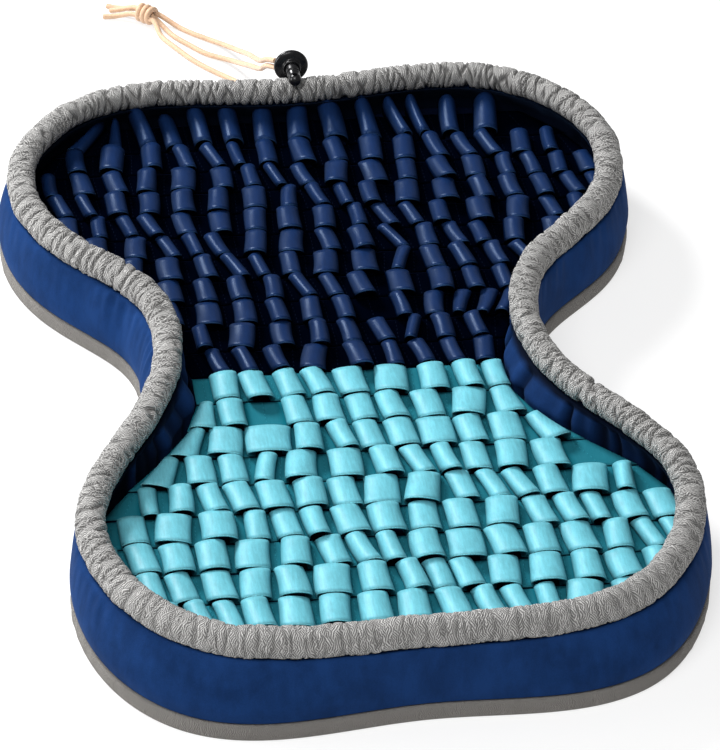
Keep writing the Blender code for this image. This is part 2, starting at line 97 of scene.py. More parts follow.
CASING_CENTRE_Z = 0.0520
CASING_HALF_LONG = 0.0082
CASING_HALF_SHORT = 0.0073
CASING_LEAN = math.radians(34)
CASING_FIRST_SIDE = math.radians(-10)

# Waves that keep the cloth uneven: seed, cycles round the mat and turns on the way up, least and most
GATHERS_DRIFT = (3, (60, 150), (-0.6, 0.6))
GATHERS_BUNCH = (5, (14, 60), (0, 0))
# the two crossing sets of gathers: which way they slant, and where they come and go
GATHER_SETS = (
    (1, (12, (90, 260), (-1.5, 1.5))),
    (-1, (13, (90, 260), (-1.5, 1.5))),
)
GATHERS_BOW_TO = math.radians(75)  # where round the casing a gather reaches furthest along the rim
GATHERS_STAND_OUT = 0.0003
SOFTNESS_DEPTH = 0.00022
CASING_SOFTNESS = (9, (20, 90), (-2, 2))
WALL_FOLDS = (21, (26, 62), (-0.25, 0.25))
WALL_CREASES = (22, (120, 210), (-0.2, 0.2))
WALL_BILLOW = (23, (9, 22), (-0.15, 0.15))
PLEATS_DRIFT = (31, (44, 60), (-0.12, 0.12))
BASE_UNEVEN = (41, (60, 160), (0, 0))
WAVE_HEIGHT = 0.03  # height of wall that the turns of its waves are counted on
CREASE_DEPTH = 0.0004
BILLOW_DEPTH = 0.0005
PLEATS_ROUND = 46  # as many as would go round the whole mat
PLEATS_CENTRE_Y = -0.020
PLEATS_REACH = 0.085
FRONT_BEGINS_Y = -0.17  # the casing's gathers grow shallower past it
FRONT_BLEND = 0.06

# Felt strips: the rows and the loops are the ones that the solids have
FELT_SHOWN = 0.0008  # thickness
STRIP_FLOOR_Z = PAD_TOP_Z + SEAM_GAP
# thread colours, darker than the felt: the stitches' own thread, painted darker as the shade in their dents
SHADED_THREADS = (("navy", (0.001, 0.003, 0.011)), ("teal", (0.020, 0.190, 0.250)))
STITCH_PITCH = 0.0034
STITCH_HALF_SIZE = (0.00035, 0.0011, 0.00028)
ROOM_FOR_STITCHES = 0.0030  # flat cloth between two loops, beyond which its seam shows
STRIP_END_CLEARANCE = 0.0022
LOOP_CLEARANCE = 0.0060
STRIP_TILT = 0.05
COLOUR_BORDER_Y = -0.0020
# colour, rows, pitch of the rows, width of one strip
STRIP_SETS = (
    ("navy", 11, 0.0226, 0.0222),
    ("teal", 10, 0.0247, 0.0243),
)
COLUMN_PITCH = 0.0186
COLUMN_SWAY = 0.0034
COLUMN_SWAY_LENGTH = 0.115
COLUMN_PHASE_STEP = 0.85
LEAST_FLAT = 0.0018
LOOP_HALF_WIDTHS = (0.0050, 0.0094)
LOOP_HEIGHTS = (0.0085, 0.0112)
LOOP_HEIGHT_BY_THE_WALL = 0.0030
LOOP_FULLNESS = (0.86, 1.04)
LEAST_HALF_WIDTH = 0.0042
LOOP_FOLLOWS_COLUMN = 0.55
LOOP_LEAN = 0.0012
LOOP_LEAN_SPREAD = 0.0022
TWISTED_SHARE = 0.05
TWISTED_LEAN = 0.0055
WAIST_LOOPS_LEFT_OUT = 0.12
LOOP_SEED = 11
LOOP_SHOWN_WIDTH = {"navy": 0.76, "teal": 1.02}  # share of a solid loop's width
FLATS_HIDDEN = {"navy": 1.0, "teal": 0.88}  # least shade on the flat cloth between two loops
GLOSS_ENDS_AT = 0.55  # shade past which the felt shows no gloss
# shares of a loop's height: up to the first its sides are fully shaded, and past the second not at all
SHADE_UP_A_LOOP = {"navy": (0.35, 0.98), "teal": (0.0, 0.88)}
WAIST_STAYS_BARE = 0.55  # share of the waist past which wide gaps get no filling loops
LOOPS_REACH_OVER = 0.0060  # how far to the front of its row a loop comes as it lies over
END_LOOP_PITCH = 0.0150
END_LOOP_TAPER = 0.55  # least width of a tapered loop, as a share of its greatest
END_LOOP_WIDEST = 0.0078
END_LOOP_LOW = 0.0035  # height of a tapered loop, less its half width
LIGHT_REACHES_IN = 0.0080  # how far from a loop the shade on the flat cloth fades
STRIP_END_SHADE = 0.4
# least and most that a loop differs by chance
LOOP_FLARE = (-0.06, 0.14)  # wider at its front edge than at its back edge, as a share
LOOP_RISE = (-0.05, 0.13)  # taller at its front edge than in its middle, as a share
LOOP_TIP = (-0.2, 0.2)  # leaning to a side, for each unit of height
LOOP_BOW = (-0.0006, 0.0006)
BACK_ROW_FALLS = 0.34  # the last row's loops are lower at their front edge by this share
LOOP_SAG = 0.03  # lower in its middle than at its edges, as a share
LOOP_TURN = (122, 28)  # half of a flat loop's turn, and how much more a round one has, in degrees
FOOT_HELD_TO = 0.45  # share of a loop's height over which its edges come free of the seam
FLAT_DIP = 0.0002
PIECES_BETWEEN_LOOPS = 4
STRIP_SEED = 77
# colour, tint and roughness of its gloss, strength of the gloss, cut edge with a painted glint, painted
# shade of the loops
FELT_FINISHES = (
    ("navy", (0.35, 0.60, 1.0), 0.33, 0.18, (0.026, 0.066, 0.155), (0.0002, 0.0007, 0.0032)),
    ("teal", (1.0, 0.97, 0.97), 0.46, 0.26, (0.26, 0.70, 0.78), (0.0005, 0.105, 0.145)),
)
# The loops lie over to the front, less so beside the end walls: y, forward move for each unit of height
LOOPS_LIE_OVER = (
    (-0.260, 0.30),
    (-0.225, 0.62),
    (-0.100, 0.75),
    (0.200, 0.75),
    (0.236, 0.05),
    (0.260, 0.0),
)
ROW_GAP_SHOWN = 0.0014  # more than the solids have between two rows
ROW_WAVE = 0.0004  # sideways wander of a row
ROW_WAVE_LENGTH = 0.006
BACK_ROW_REACHES = 0.0046  # the last row goes this much further, against the wall
FRONT_ROW_GAP = 0.0026
FRONT_ROW_WIDTH = 0.0165
FRONT_LOOP_HALF_WIDTH = 0.0070
FRONT_LOOP_HEIGHT = 0.0102

# Cord lock. Distances run back from its mouth.
LOCK_MOUTH = Vector((-0.0011, 0.2566, 0.06325))
LOCK_FORWARD = Vector((0.010, -0.996, 0.089)).normalized()
PLUNGER_RADIUS = 0.00385
PLUNGER_CLEARANCE = 0.0002
PLUNGER_NECK = 0.0031
PLUNGER_EYELET_RADIUS = 0.0016
PLUNGER_TIP = -0.0134
# rings round the plunger's sleeve: distance back from its tip, radius
PLUNGER_RINGS = (
    (0.0100, 0.00385),
    (0.0094, 0.00355),
    (0.0088, 0.00355),
    (0.0085, 0.00385),
    (0.0076, 0.00385),
    (0.0073, 0.00335),
    (0.0066, 0.00335),
    (0.0063, 0.00385),
    (0.0054, 0.00385),
)
PLUNGER_TAIL = 0.0045
PLUNGER_BALL_TURNS = range(-38, 90, 8)  # degrees round the ball, from the neck to the tip
EYELET_CUTTER_LENGTH = 0.0200
LOCK_BORE_DEPTH = 0.0090
LOCK_SIDES = 64
# the bell from the lip of its mouth over the shoulder to the middle of its back: distance back, radius
LOCK_SHELL = (
    (0.0000, 0.0048),
    (0.0006, 0.0053),
    (0.0020, 0.0056),
    (0.0024, 0.0080),
    (0.0032, 0.0097),
    (0.0044, 0.0103),
    (0.0058, 0.0099),
    (0.0074, 0.0087),
    (0.0090, 0.0070),
    (0.0100, 0.0050),
    (0.0101, 0.0),
)

# Drawcord: each strand leaves the lock or the casing, passes through the knot and ends bare.
CORD_DIAMETER = 0.0033
CORD_LIES_AT_Z = 0.0017
CORD_ROUTES = (
    (
        "drawcord_top",
        ("cord_strand_top", "cord_tail_back"),
        (
            (-0.0098, 0.2655, 0.0643),
            (-0.0132, 0.2745, 0.0600),
            (-0.0150, 0.2897, 0.0500),
            (-0.0179, 0.3288, 0.0300),
            (-0.0209, 0.3626, 0.0125),
            (-0.0283, 0.3853, 0.0036),
            (-0.0371, 0.3963, CORD_LIES_AT_Z),
            (-0.0462, 0.4047, CORD_LIES_AT_Z),
            (-0.0549, 0.4140, 0.0024),
            (-0.0635, 0.4206, 0.0062),
            (-0.0700, 0.4261, 0.0069),
            (-0.0760, 0.4312, 0.0058),
            (-0.0816, 0.4358, 0.0038),
            (-0.0885, 0.4402, 0.0020),
            (-0.0950, 0.4440, CORD_LIES_AT_Z),
        ),
    ),
    (
        "drawcord_middle",
        ("cord_strand_middle", "cord_tail_middle"),
        (
            (-0.0095, 0.2655, 0.0597),
            (-0.0133, 0.2742, 0.0558),
            (-0.0151, 0.2900, 0.0445),
            (-0.0183, 0.3230, 0.0260),
            (-0.0223, 0.3527, 0.0100),
            (-0.0300, 0.3709, 0.0026),
            (-0.0391, 0.3788, CORD_LIES_AT_Z),
            (-0.0478, 0.3894, CORD_LIES_AT_Z),
            (-0.0565, 0.4013, CORD_LIES_AT_Z),
            (-0.0617, 0.4110, 0.0024),
            (-0.0661, 0.4175, 0.0050),
            (-0.0722, 0.4230, 0.0080),
            (-0.0784, 0.4285, 0.0085),
            (-0.0835, 0.4325, 0.0062),
            (-0.0890, 0.4360, 0.0032),
            (-0.0935, 0.4383, 0.0018),
        ),
    ),
    (
        "drawcord_low",
        ("cord_strand_low", "cord_tail_front"),
        (
            (-0.0120, 0.2606, 0.0484),
            (-0.0136, 0.2680, 0.0440),
            (-0.0158, 0.2850, 0.0315),
            (-0.0192, 0.3150, 0.0140),
            (-0.0245, 0.3420, 0.0030),
            (-0.0365, 0.3574, CORD_LIES_AT_Z),
            (-0.0495, 0.3744, CORD_LIES_AT_Z),
            (-0.0600, 0.3930, CORD_LIES_AT_Z),
            (-0.0660, 0.4070, 0.0026),
            (-0.0682, 0.4147, 0.0062),
            (-0.0745, 0.4201, 0.0060),
            (-0.0809, 0.4257, 0.0058),
            (-0.0858, 0.4288, 0.0038),
            (-0.0925, 0.4306, 0.0020),
            (-0.0985, 0.4316, CORD_LIES_AT_Z),
        ),
    ),
)
KNOT_CENTRE = Vector((-0.0723, 0.4232, 0.0066))
KNOT_ALONG = Vector((-0.753, 0.658, 0.0)).normalized()
KNOT_CORD_RADIUS = CORD_DIAMETER * 0.56  # the cord is pulled tight and spreads a little
# distance along the knot, radius of the turn's centre line, its lean
KNOT_TURNS = (
    (-0.0040, 0.0042, -0.10),
    (-0.0002, 0.0044, 0.04),
    (0.0038, 0.0042, 0.12),
)


WHITE = (1.0, 1.0, 1.0, 1.0)
LIGHTS_AIM = (0.0, 0.0, 0.03)
# round soft lights: name, place, the setting that holds its power, width
LIGHTS = (
    ("main light", (-0.95, 1.25, 1.35), "key_power", 0.7),
    ("top light", (-0.4, -0.85, 1.6), "top_power", 1.0),
    ("side light", (-1.6, 0.1, 0.55), "side_power", 0.8),
)


# ---- the sizes and colours that a user would change


def colour_setting(name, description, default):
    return FloatVectorProperty(
        name=name, description=description, default=default, subtype="COLOR", min=0.0, max=1.0
    )


def place_setting(name, description, default):
    return FloatVectorProperty(
        name=name, description=description, default=default, subtype="TRANSLATION", unit="LENGTH"
    )


def size_setting(name, description, default, unit="LENGTH"):
    return FloatProperty(name=name, description=description, default=default, unit=unit)


class StageSettings(bpy.types.PropertyGroup):
    camera_place: place_setting("Camera place", "Where the camera stands", (-0.27186, -1.97708, 1.47520))
    camera_target: place_setting("Camera target", "The point it looks at", (0.00832, 0.03393, 0.0))
    lens: size_setting("Lens", "Focal length in millimetres", 216.0, unit="CAMERA")
    floor_size: size_setting("Floor size", "Side of the square floor", 9.0)
    daylight: FloatProperty(
        name="Daylight", description="Strength of the light from all round", default=0.23
    )
    floor_glow: FloatProperty(
        name="Floor glow", description="How brightly the white floor glows by itself", default=0.655
    )
    key_power: size_setting("Main light", "Power of the soft light behind the mat", 54.0, unit="POWER")
    top_power: size_setting("Top light", "Power of the wide light overhead", 20.0, unit="POWER")
    side_power: size_setting("Side light", "Power of the low light at the left", 13.0, unit="POWER")


class CordSettings(bpy.types.PropertyGroup):
    colour: colour_setting("Cord colour", "Colour of the drawcord", (0.60, 0.39, 0.245))
    lock_colour: colour_setting("Lock colour", "Colour of the lock's plastic", (0.008, 0.008, 0.009))
    point_spacing: size_setting("Point spacing", "Distance between the points of a cord", 0.0035)


class CasingSettings(bpy.types.PropertyGroup):
    colour: colour_setting("Knit colour", "Middle colour of the grey knit", (0.362, 0.357, 0.350))
    gather_length: size_setting("Gather length", "Distance from one gather to the next", 0.0050)
    gather_depth: size_setting("Gather depth", "Depth of the creases between gathers", 0.0018)
    chevron: FloatProperty(
        name="Chevron",
        description="How far a gather runs along the rim, in gathers, on its way round",
        default=1.1,
    )
    stations: IntProperty(name="Stations", description="Rings of points round the rim", default=3000)
    sides: IntProperty(name="Sides", description="Points round the casing", default=30)


class WallSettings(bpy.types.PropertyGroup):
    colour: colour_setting("Wall colour", "Colour of the blue suede-like wall", (0.0070, 0.030, 0.111))
    base_colour: colour_setting("Base colour", "Middle colour of the grey band", (0.185, 0.176, 0.165))
    fold_depth: size_setting("Fold depth", "Depth of the wall's outer folds at the waist", 0.0016)
    pleat_depth: size_setting("Pleat depth", "Depth of the puffed pleats in the waist", 0.0042)
    stations: IntProperty(name="Stations", description="Rings of points round the wall", default=1080)


class FeltSettings(bpy.types.PropertyGroup):
    navy: colour_setting("Navy", "Colour of the back rows", (0.0052, 0.0185, 0.070))
    teal: colour_setting("Teal", "Colour of the front rows", (0.122, 0.425, 0.510))
    levels: IntProperty(name="Levels", description="Rows of points across one strip", default=8)
    arch_points: IntProperty(name="Arch points", description="Points round one loop", default=19)
    yaw: FloatProperty(
        name="Turn of the edges",
        description="Share of a loop's lean that its cut edges turn with",
        default=0.9,
    )


class SnuffleMat(bpy.types.PropertyGroup):
    stage: PointerProperty(type=StageSettings)
    cord: PointerProperty(type=CordSettings)
    casing: PointerProperty(type=CasingSettings)
    wall: PointerProperty(type=WallSettings)
    felt: PointerProperty(type=FeltSettings)


# ---- materials


WAVE_LENGTH = 2 * math.pi / 20  # of a wave texture at scale 1


class Finish:
    """One procedural material, its nodes added from the coordinates to the shader."""

    def __init__(self, name, colour, roughness, **constants):
        self.material = bpy.data.materials.new(name)
        self.material.use_nodes = True
        self.tree = self.material.node_tree
        self.shader = self.tree.nodes["Principled BSDF"]
        self.colour = tuple(colour)
        self.feed(self.shader, {"Base Color": (*colour, 1.0), "Roughness": roughness})
        self.feed(self.shader, {name.replace("_", " "): value for name, value in constants.items()})
        self.object = self.add("ShaderNodeTexCoord").outputs["Object"]
        self.height = None

    def feed(self, node, inputs):
        """Links each of the node's inputs to another node's output, or sets its value."""
        for name, value in dict(inputs).items():
            if isinstance(value, bpy.types.NodeSocket):
                self.tree.links.new(value, node.inputs[name])
            else:
                node.inputs[name].default_value = value

    def add(self, kind, inputs=(), **settings):
        made = self.tree.nodes.new(kind)
        for name, value in settings.items():
            setattr(made, name, value)
        self.feed(made, inputs)
        return made

    def flat(self):
        return self.add("ShaderNodeUVMap", uv_map="UVMap").outputs["UV"]

    def stretched(self, scale):
        return self.add("ShaderNodeMapping", {"Vector": self.object, "Scale": scale}).outputs["Vector"]

    def noise(self, scale, detail=2.0, roughness=0.5, distortion=0.0, vector=None):
        inputs = {
            "Vector": vector or self.object,
            "Scale": scale,
            "Detail": detail,
            "Roughness": roughness,
            "Distortion": distortion,
        }
        return self.add("ShaderNodeTexNoise", inputs).outputs["Fac"]

    def spread(self, value, low, high, to_low=0.0, to_high=1.0):
        inputs = {"Value": value, "From Min": low, "From Max": high, "To Min": to_low, "To Max": to_high}
        return self.add("ShaderNodeMapRange", inputs, clamp=True).outputs["Result"]

    def maths(self, operation, first, second):
        return self.add("ShaderNodeMath", {0: first, 1: second}, operation=operation).outputs["Value"]

    def weighed(self, *parts):
        """The sum of the values, each times its weight."""
        total, *others = [self.maths("MULTIPLY", value, weight) for value, weight in parts]
        for other in others:
            total = self.maths("ADD", total, other)
        return total

    def mixed(self, share, first, second):
        return self.add("ShaderNodeMix", {0: share, 6: first, 7: second}, data_type="RGBA").outputs[2]

    def toned(self, value, low, high, darkest, palest):
        """The finish's colour times a factor that goes from darkest to palest as the value grows."""
        return self.mixed(self.spread(value, low, high), self.tone(darkest), self.tone(palest))

    def hidden(self):
        """How much of the light the cloth's own folds keep off, as its mesh says."""
        return self.add("ShaderNodeAttribute", attribute_name="hidden").outputs["Fac"]

    def tone(self, factor):
        """The finish's colour, lighter or darker by this factor."""
        return tuple(min(1.0, factor * part) for part in self.colour) + (1.0,)

    def paint(self, colour):
        self.tree.links.new(colour, self.shader.inputs["Base Color"])

    def rough(self, value):
        self.tree.links.new(value, self.shader.inputs["Roughness"])

    def bump(self, height, distance, strength=1.0):
        inputs = {"Height": height, "Distance": distance, "Strength": strength}
        if self.height is not None:
            inputs["Normal"] = self.height
        self.height = self.add("ShaderNodeBump", inputs).outputs["Normal"]
        self.tree.links.new(self.height, self.shader.inputs["Normal"])


def knit_finish(name, colour, pitch, contrast, depth):
    """Heathered knit: patches of pale curled strands over darker yarn, with fine fibres, and painted shade
    where the mesh's hidden attribute says.

    pitch is the distance from one strand to the next."""
    made = Finish(name, colour, 0.95, Sheen_Weight=0.15, Sheen_Roughness=0.5, Specular_IOR_Level=0.2)
    made.feed(made.shader, {"Sheen Tint": made.tone(1.6)})
    flat = made.flat()
    strands = []
    for slant, curl in ((0.55, 9.0), (-0.50, 8.0), (0.05, 13.0)):
        turned = made.add("ShaderNodeMapping", {"Vector": flat, "Rotation": (0.0, 0.0, slant)})
        inputs = {
            "Vector": turned.outputs["Vector"],
            "Scale": WAVE_LENGTH / pitch,
            "Distortion": curl,
            "Detail": 1.5,
            "Detail Scale": 0.55,
            "Detail Roughness": 0.55,
        }
        strands.append(made.add("ShaderNodeTexWave", inputs).outputs["Fac"])
    patches = made.noise(0.32 / pitch, detail=1.0, vector=flat)
    others = made.noise(0.40 / pitch, detail=1.0)
    both = made.add("ShaderNodeMix", {0: made.spread(patches, 0.46, 0.54), 2: strands[0], 3: strands[1]})
    all_three = {0: made.spread(others, 0.54, 0.60), 2: both.outputs[0], 3: strands[2]}
    hatch = made.add("ShaderNodeMix", all_three).outputs[0]
    fibres = made.noise(1.3 / pitch, detail=3.0, roughness=0.7, distortion=1.2)
    middle, reach = 0.70, 0.38 / contrast
    marl = made.weighed((hatch, 0.74), (fibres, 0.66))
    face = made.toned(marl, middle - reach, middle + reach, 0.42, 1.62)
    # painted shade in the casing's creases, from the mesh's hidden attribute
    made.paint(made.mixed(made.maths("MULTIPLY", made.hidden(), 0.75), face, made.tone(0.22)))
    made.bump(hatch, depth, 1.0)
    made.bump(fibres, depth * 0.5, 0.5)
    return made.material


def suede_finish(settings):
    """Short brushed pile with soft clouds of tone, and painted shade inside the wall and where folds keep
    the light off.
    """
    made = Finish("blue suede", settings.colour, 0.85, Sheen_Weight=0.05, Sheen_Roughness=0.38)
    made.feed(made.shader, {"Sheen Tint": (0.20, 0.40, 0.85, 1.0), "Specular IOR Level": 0.04})
    nap = made.noise(26.0, detail=4.0, roughness=0.62, distortion=0.6)
    brushed = made.noise(150.0, detail=3.0, roughness=0.6, vector=made.stretched((1.0, 1.0, 0.35)))
    pile = made.noise(1500.0, detail=2.0, roughness=0.6)
    face = made.toned(made.weighed((nap, 0.5), (brushed, 0.3), (pile, 0.2)), 0.41, 0.59, 0.78, 1.22)
    made.paint(made.mixed(made.hidden(), face, made.tone(0.08)))
    made.bump(brushed, 0.0004, 0.35)
    made.bump(pile, 0.00025, 0.5)
    return made.material


def felt_finish(name, colour, gloss_tint, roughness, gloss, painted_shade):
    """Thin soft felt: faint nap along the strip, satin gloss, and painted shade between the loops and down
    their sides.
    """
    made = Finish(name, colour, roughness, Specular_IOR_Level=gloss)
    made.feed(made.shader, {"Specular Tint": (*gloss_tint, 1.0)})
    clouds = made.noise(90.0, detail=3.0, roughness=0.6)
    streaks = made.noise(700.0, detail=3.0, roughness=0.6, vector=made.stretched((1.0, 0.14, 1.0)))
    fibres = made.noise(2300.0, detail=2.0, roughness=0.65)
    shade = made.weighed((clouds, 0.22), (streaks, 0.48), (fibres, 0.3))
    # painted shade: the face colour gives way to the shade colour as far as the mesh's hidden attribute says
    made.paint(made.mixed(made.hidden(), made.toned(shade, 0.38, 0.62, 0.84, 1.16), (*painted_shade, 1.0)))
    made.rough(made.spread(made.hidden(), 0.2, 0.7, roughness, 0.95))
    made.bump(fibres, 0.00016, 0.5)
    made.bump(streaks, 0.0002, 0.3)
    return made.material


def cut_edge_glint_finish(name, colour, painted_shade):
    """The cut edge of the felt, fuzzier than its face, painted paler as a glint and darker in painted shade.
    """
    made = Finish(name, colour, 0.95, Specular_IOR_Level=0.0)
    fuzz = made.noise(1300.0, detail=2.0, roughness=0.7)
    # painted glint: the edge colour is paler than the face; painted shade where the hidden attribute says
    made.paint(made.mixed(made.hidden(), made.toned(fuzz, 0.35, 0.65, 0.8, 1.25), (*painted_shade, 1.0)))
    made.bump(fuzz, 0.0001, 0.4)
    return made.material


def thread_finish(name, colour):
    """Twisted sewing thread, painted darker than the felt as the shade in the stitches' dents."""
    made = Finish(name, colour, 0.8, Specular_IOR_Level=0.03)
    twist = made.noise(2600.0, detail=1.0)
    made.paint(made.mixed(twist, made.tone(0.7), made.tone(1.3)))
    made.bump(twist, 0.0001, 0.5)
    return made.material


def cord_finish(settings):
    """Soft braided cord, a little worn."""
    made = Finish("peach cord", settings.colour, 0.62, Sheen_Weight=0.25)
    weave = made.noise(620.0, detail=2.0, roughness=0.55, distortion=0.8)
    worn = made.noise(90.0, detail=3.0)
    made.paint(made.toned(made.weighed((weave, 0.6), (worn, 0.4)), 0.35, 0.65, 0.88, 1.12))
    braid = {"Vector": made.stretched((1.0, 0.6, 1.0)), "Scale": 900.0, "Randomness": 1.0}
    made.bump(weave, 0.0002, 0.5)
    made.bump(made.add("ShaderNodeTexVoronoi", braid, feature="F1").outputs["Distance"], 0.00025, 0.5)
    return made.material


def plastic_finish(settings):
    """Moulded plastic with a faint haze of handling on its gloss."""
    made = Finish("glossy black plastic", settings.lock_colour, 0.24, Specular_IOR_Level=0.35)
    haze = made.noise(260.0, detail=3.0)
    made.rough(made.spread(haze, 0.3, 0.7, 0.20, 0.32))
    made.paint(made.toned(haze, 0.3, 0.7, 0.8, 1.3))
    made.bump(made.noise(900.0), 0.00004, 0.4)
    return made.material


def shaded_pad_finish():
    """The navy cloth of the cushion floor, seen only between the strips, painted near black as the shade in
    those gaps.
    """
    made = Finish("navy floor cloth", (0.002, 0.004, 0.014), 0.95, Specular_IOR_Level=0.0)
    weave = made.noise(900.0, detail=2.0)
    made.paint(made.toned(weave, 0.35, 0.65, 0.7, 1.4))
    made.bump(weave, 0.0003, 0.5)
    return made.material


# ---- meshes


def add_piece(name, bm, materials, smooth_below=60, normals=True):
    if normals:
        bmesh.ops.recalc_face_normals(bm, faces=bm.faces)
    mesh = bpy.data.meshes.new(name)
    bm.to_mesh(mesh)
    bm.free()
    mesh.shade_smooth()
    mesh.set_sharp_from_angle(angle=math.radians(smooth_below))
    for material in materials:
        mesh.materials.append(material)
    obj = bpy.data.objects.new(name, mesh)
    bpy.context.scene.collection.objects.link(obj)
    return obj


def apply_modifiers(obj):
    graph = bpy.context.evaluated_depsgraph_get()
    made = bpy.data.meshes.new_from_object(obj.evaluated_get(graph), depsgraph=graph)
    old = obj.data
    obj.modifiers.clear()
    obj.data = made
    bpy.data.meshes.remove(old)
    made.name = obj.name


def hump(value, centre, reach):
    """1 at the centre, falling smoothly to nearly 0 at twice the reach from it."""
    return np.exp(-(((value - centre) / reach) ** 2))


def ramp(value, start, run):
    """0 up to the start, and 1 from the start plus the run. A run below 0 goes the other way."""
    return np.clip((value - start) / run, 0, 1)


def unit_grid(columns, rows):
    """A bmesh grid from (0, 0) to (1, 1), with a UV map."""
    bm = bmesh.new()
    bm.loops.layers.uv.new("UVMap")
    bmesh.ops.create_grid(bm, x_segments=columns, y_segments=rows, size=0.5, calc_uvs=True)
    bmesh.ops.translate(bm, verts=bm.verts, vec=(0.5, 0.5, 0.0))
    return bm


def bend(bm, places, closed, hidden=None):
    """Lays a unit grid on places[column, row], and joins its edges that meet: its first and last columns
    where closed is "round", those and its first and last rows where it is "tube".

    hidden[column, row], from 0 to 1, says how much of the light the cloth's own folds keep off."""
    columns, rows = places.shape[0] - (not closed), places.shape[1]
    layer = None if hidden is None else bm.verts.layers.float.new("hidden")
    for vert in bm.verts:
        column = round(vert.co.x * columns)
        row = round(vert.co.y * (rows if closed == "tube" else rows - 1))
        at = column % places.shape[0], row % rows
        vert.co = places[at]
        if layer:
            vert[layer] = hidden[at]
    if closed:
        bmesh.ops.remove_doubles(bm, verts=bm.verts, dist=1e-6)


def smooth_curve(knots, values, at, closed):
    """A curve through the values at the knots, cubic in each span, with no break in slope or bend."""
    spans = np.diff(knots)
    count = len(values)
    system = np.zeros((count, count)) if closed else np.eye(count)
    right = np.zeros(values.shape)
    for i in range(count) if closed else range(1, count - 1):
        after = (i + 1) % count
        system[i, [i - 1, i, after]] = spans[i - 1], 2 * (spans[i - 1] + spans[i]), spans[i]
        right[i] = 6 * ((values[after] - values[i]) / spans[i] - (values[i] - values[i - 1]) / spans[i - 1])
    bends = np.linalg.solve(system, right)
    span = np.clip(np.searchsorted(knots, at, side="right") - 1, 0, len(spans) - 1)
    ahead = (span + 1) % count
    width = spans[span][:, None]
    left = (at - knots[span])[:, None]
    rest = width - left
    return (
        bends[span] * rest**3 / (6 * width)
        + bends[ahead] * left**3 / (6 * width)
        + (values[span] / width - bends[span] * width / 6) * rest
        + (values[ahead] / width - bends[ahead] * width / 6) * left
    )


def distances(points):
    """How far along the line through the points each of them lies."""
    return np.concatenate([[0.0], np.cumsum(np.linalg.norm(np.diff(points, axis=0), axis=1))])


def waist_share(y):
    """1 where the mat is narrowest, falling to nearly 0 in its two lobes."""
    return hump(y, WAIST_CENTRE_Y, WAIST_REACH)


class Plan:
    """The casing's centre line at even steps: place, outward direction, foot and distance run."""

    def __init__(self, samples=1440):
        table = np.array([row[1:] for row in RIM_PLAN])
        knots = distances(np.vstack([table, table[:1]])[:, :2])
        at = np.linspace(0.0, knots[-1], samples, endpoint=False)
        fine = smooth_curve(knots, table, at, closed=True)
        self.place = fine[:, :2]
        self.foot = fine[:, 2]
        along = np.roll(self.place, -1, axis=0) - np.roll(self.place, 1, axis=0)
        along /= np.linalg.norm(along, axis=1)[:, None]
        self.outward = np.stack([-along[:, 1], along[:, 0]], axis=1)
        steps = np.linalg.norm(np.roll(self.place, -1, axis=0) - self.place, axis=1)
        self.run = np.concatenate([[0.0], np.cumsum(steps)[:-1]])
        self.length = float(steps.sum())
        y = self.place[:, 1]
        self.waist = waist_share(y)
        bulge = hump(y, WALL_BULGE_CENTRE_Y, WALL_BULGE_REACH)
        self.inner_foot = WALL_INNER_FOOT_LOBE + bulge * (WALL_INNER_FOOT_WAIST - WALL_INNER_FOOT_LOBE)

    def inner_outline(self, clearance):
        return self.place + (self.inner_foot - clearance)[:, None] * self.outward

    def places(self, section):
        """Points in space of a section given as [sample, point, (outward, z)]."""
        flat = self.place[:, None, :] + section[:, :, :1] * self.outward[:, None, :]
        return np.concatenate([flat, section[:, :, 1:]], axis=2)


def ripples(kind, round_share, height, count=14):
    """Even, seamless unevenness round a ring: a sum of waves with whole numbers of cycles."""
    seed, cycles_round, turns_up = kind
    chance = random.Random(seed)
    total = 0.0
    for _ in range(count):
        cycles, turns = chance.randint(*cycles_round), chance.uniform(*turns_up)
        phase = chance.uniform(0, 2 * math.pi)
        total = total + np.sin(2 * math.pi * (cycles * round_share + turns * height) + phase)
    return total / math.sqrt(count / 2)


def section_normals(section):
    """Directions out of the body that the section's line runs round, in its own (outward, z) plane."""
    along = np.gradient(section, axis=1)
    along /= np.maximum(np.linalg.norm(along, axis=2, keepdims=True), 1e-9)
    return np.stack([along[:, :, 1], -along[:, :, 0]], axis=2)


def smooth_line(points, per_span):
    """A smooth open line through points[sample, number, (outward, z)]."""
    count = points.shape[1]
    before = np.concatenate([2 * points[:, :1] - points[:, 1:2], points[:, :-1]], axis=1)
    after = np.concatenate([points[:, 1:], 2 * points[:, -1:] - points[:, -2:-1]], axis=1)
    made = []
    for number in range(count - 1):
        p1, p2 = points[:, number], points[:, number + 1]
        m1, m2 = (p2 - before[:, number]) * 0.45, (after[:, number + 1] - p1) * 0.45
        for step in range(per_span):
            t = step / per_span
            made.append(
                (2 * t**3 - 3 * t**2 + 1) * p1
                + (t**3 - 2 * t**2 + t) * m1
                + (3 * t**2 - 2 * t**3) * p2
                + (t**3 - t**2) * m2
            )
    made.append(points[:, -1])
    return np.stack(made, axis=1)


def scale_uv(obj, across, up):
    """Gives a unit grid's UV map the cloth's real size in metres."""
    layer = obj.data.uv_layers["UVMap"].data
    flat = np.zeros(len(layer) * 2, np.float32)
    layer.foreach_get("uv", flat)
    flat[0::2] *= across
    flat[1::2] *= up
    layer.foreach_set("uv", flat)


# ---- casing, wall, base and floor pad


def casing_point(turn, grow):
    """A point of the casing's oval, as (outward, z)."""
    u = (CASING_HALF_LONG + grow) * np.cos(turn)
    v = (CASING_HALF_SHORT + grow) * np.sin(turn)
    outward = u * math.cos(CASING_LEAN) + v * math.sin(CASING_LEAN)
    up = -u * math.sin(CASING_LEAN) + v * math.cos(CASING_LEAN)
    return outward, CASING_CENTRE_Z + up


def crease(phase, sharpness):
    """0 on the crown of a gather and 1 in the crease between two."""
    return (0.5 + 0.5 * np.cos(2 * math.pi * phase)) ** sharpness


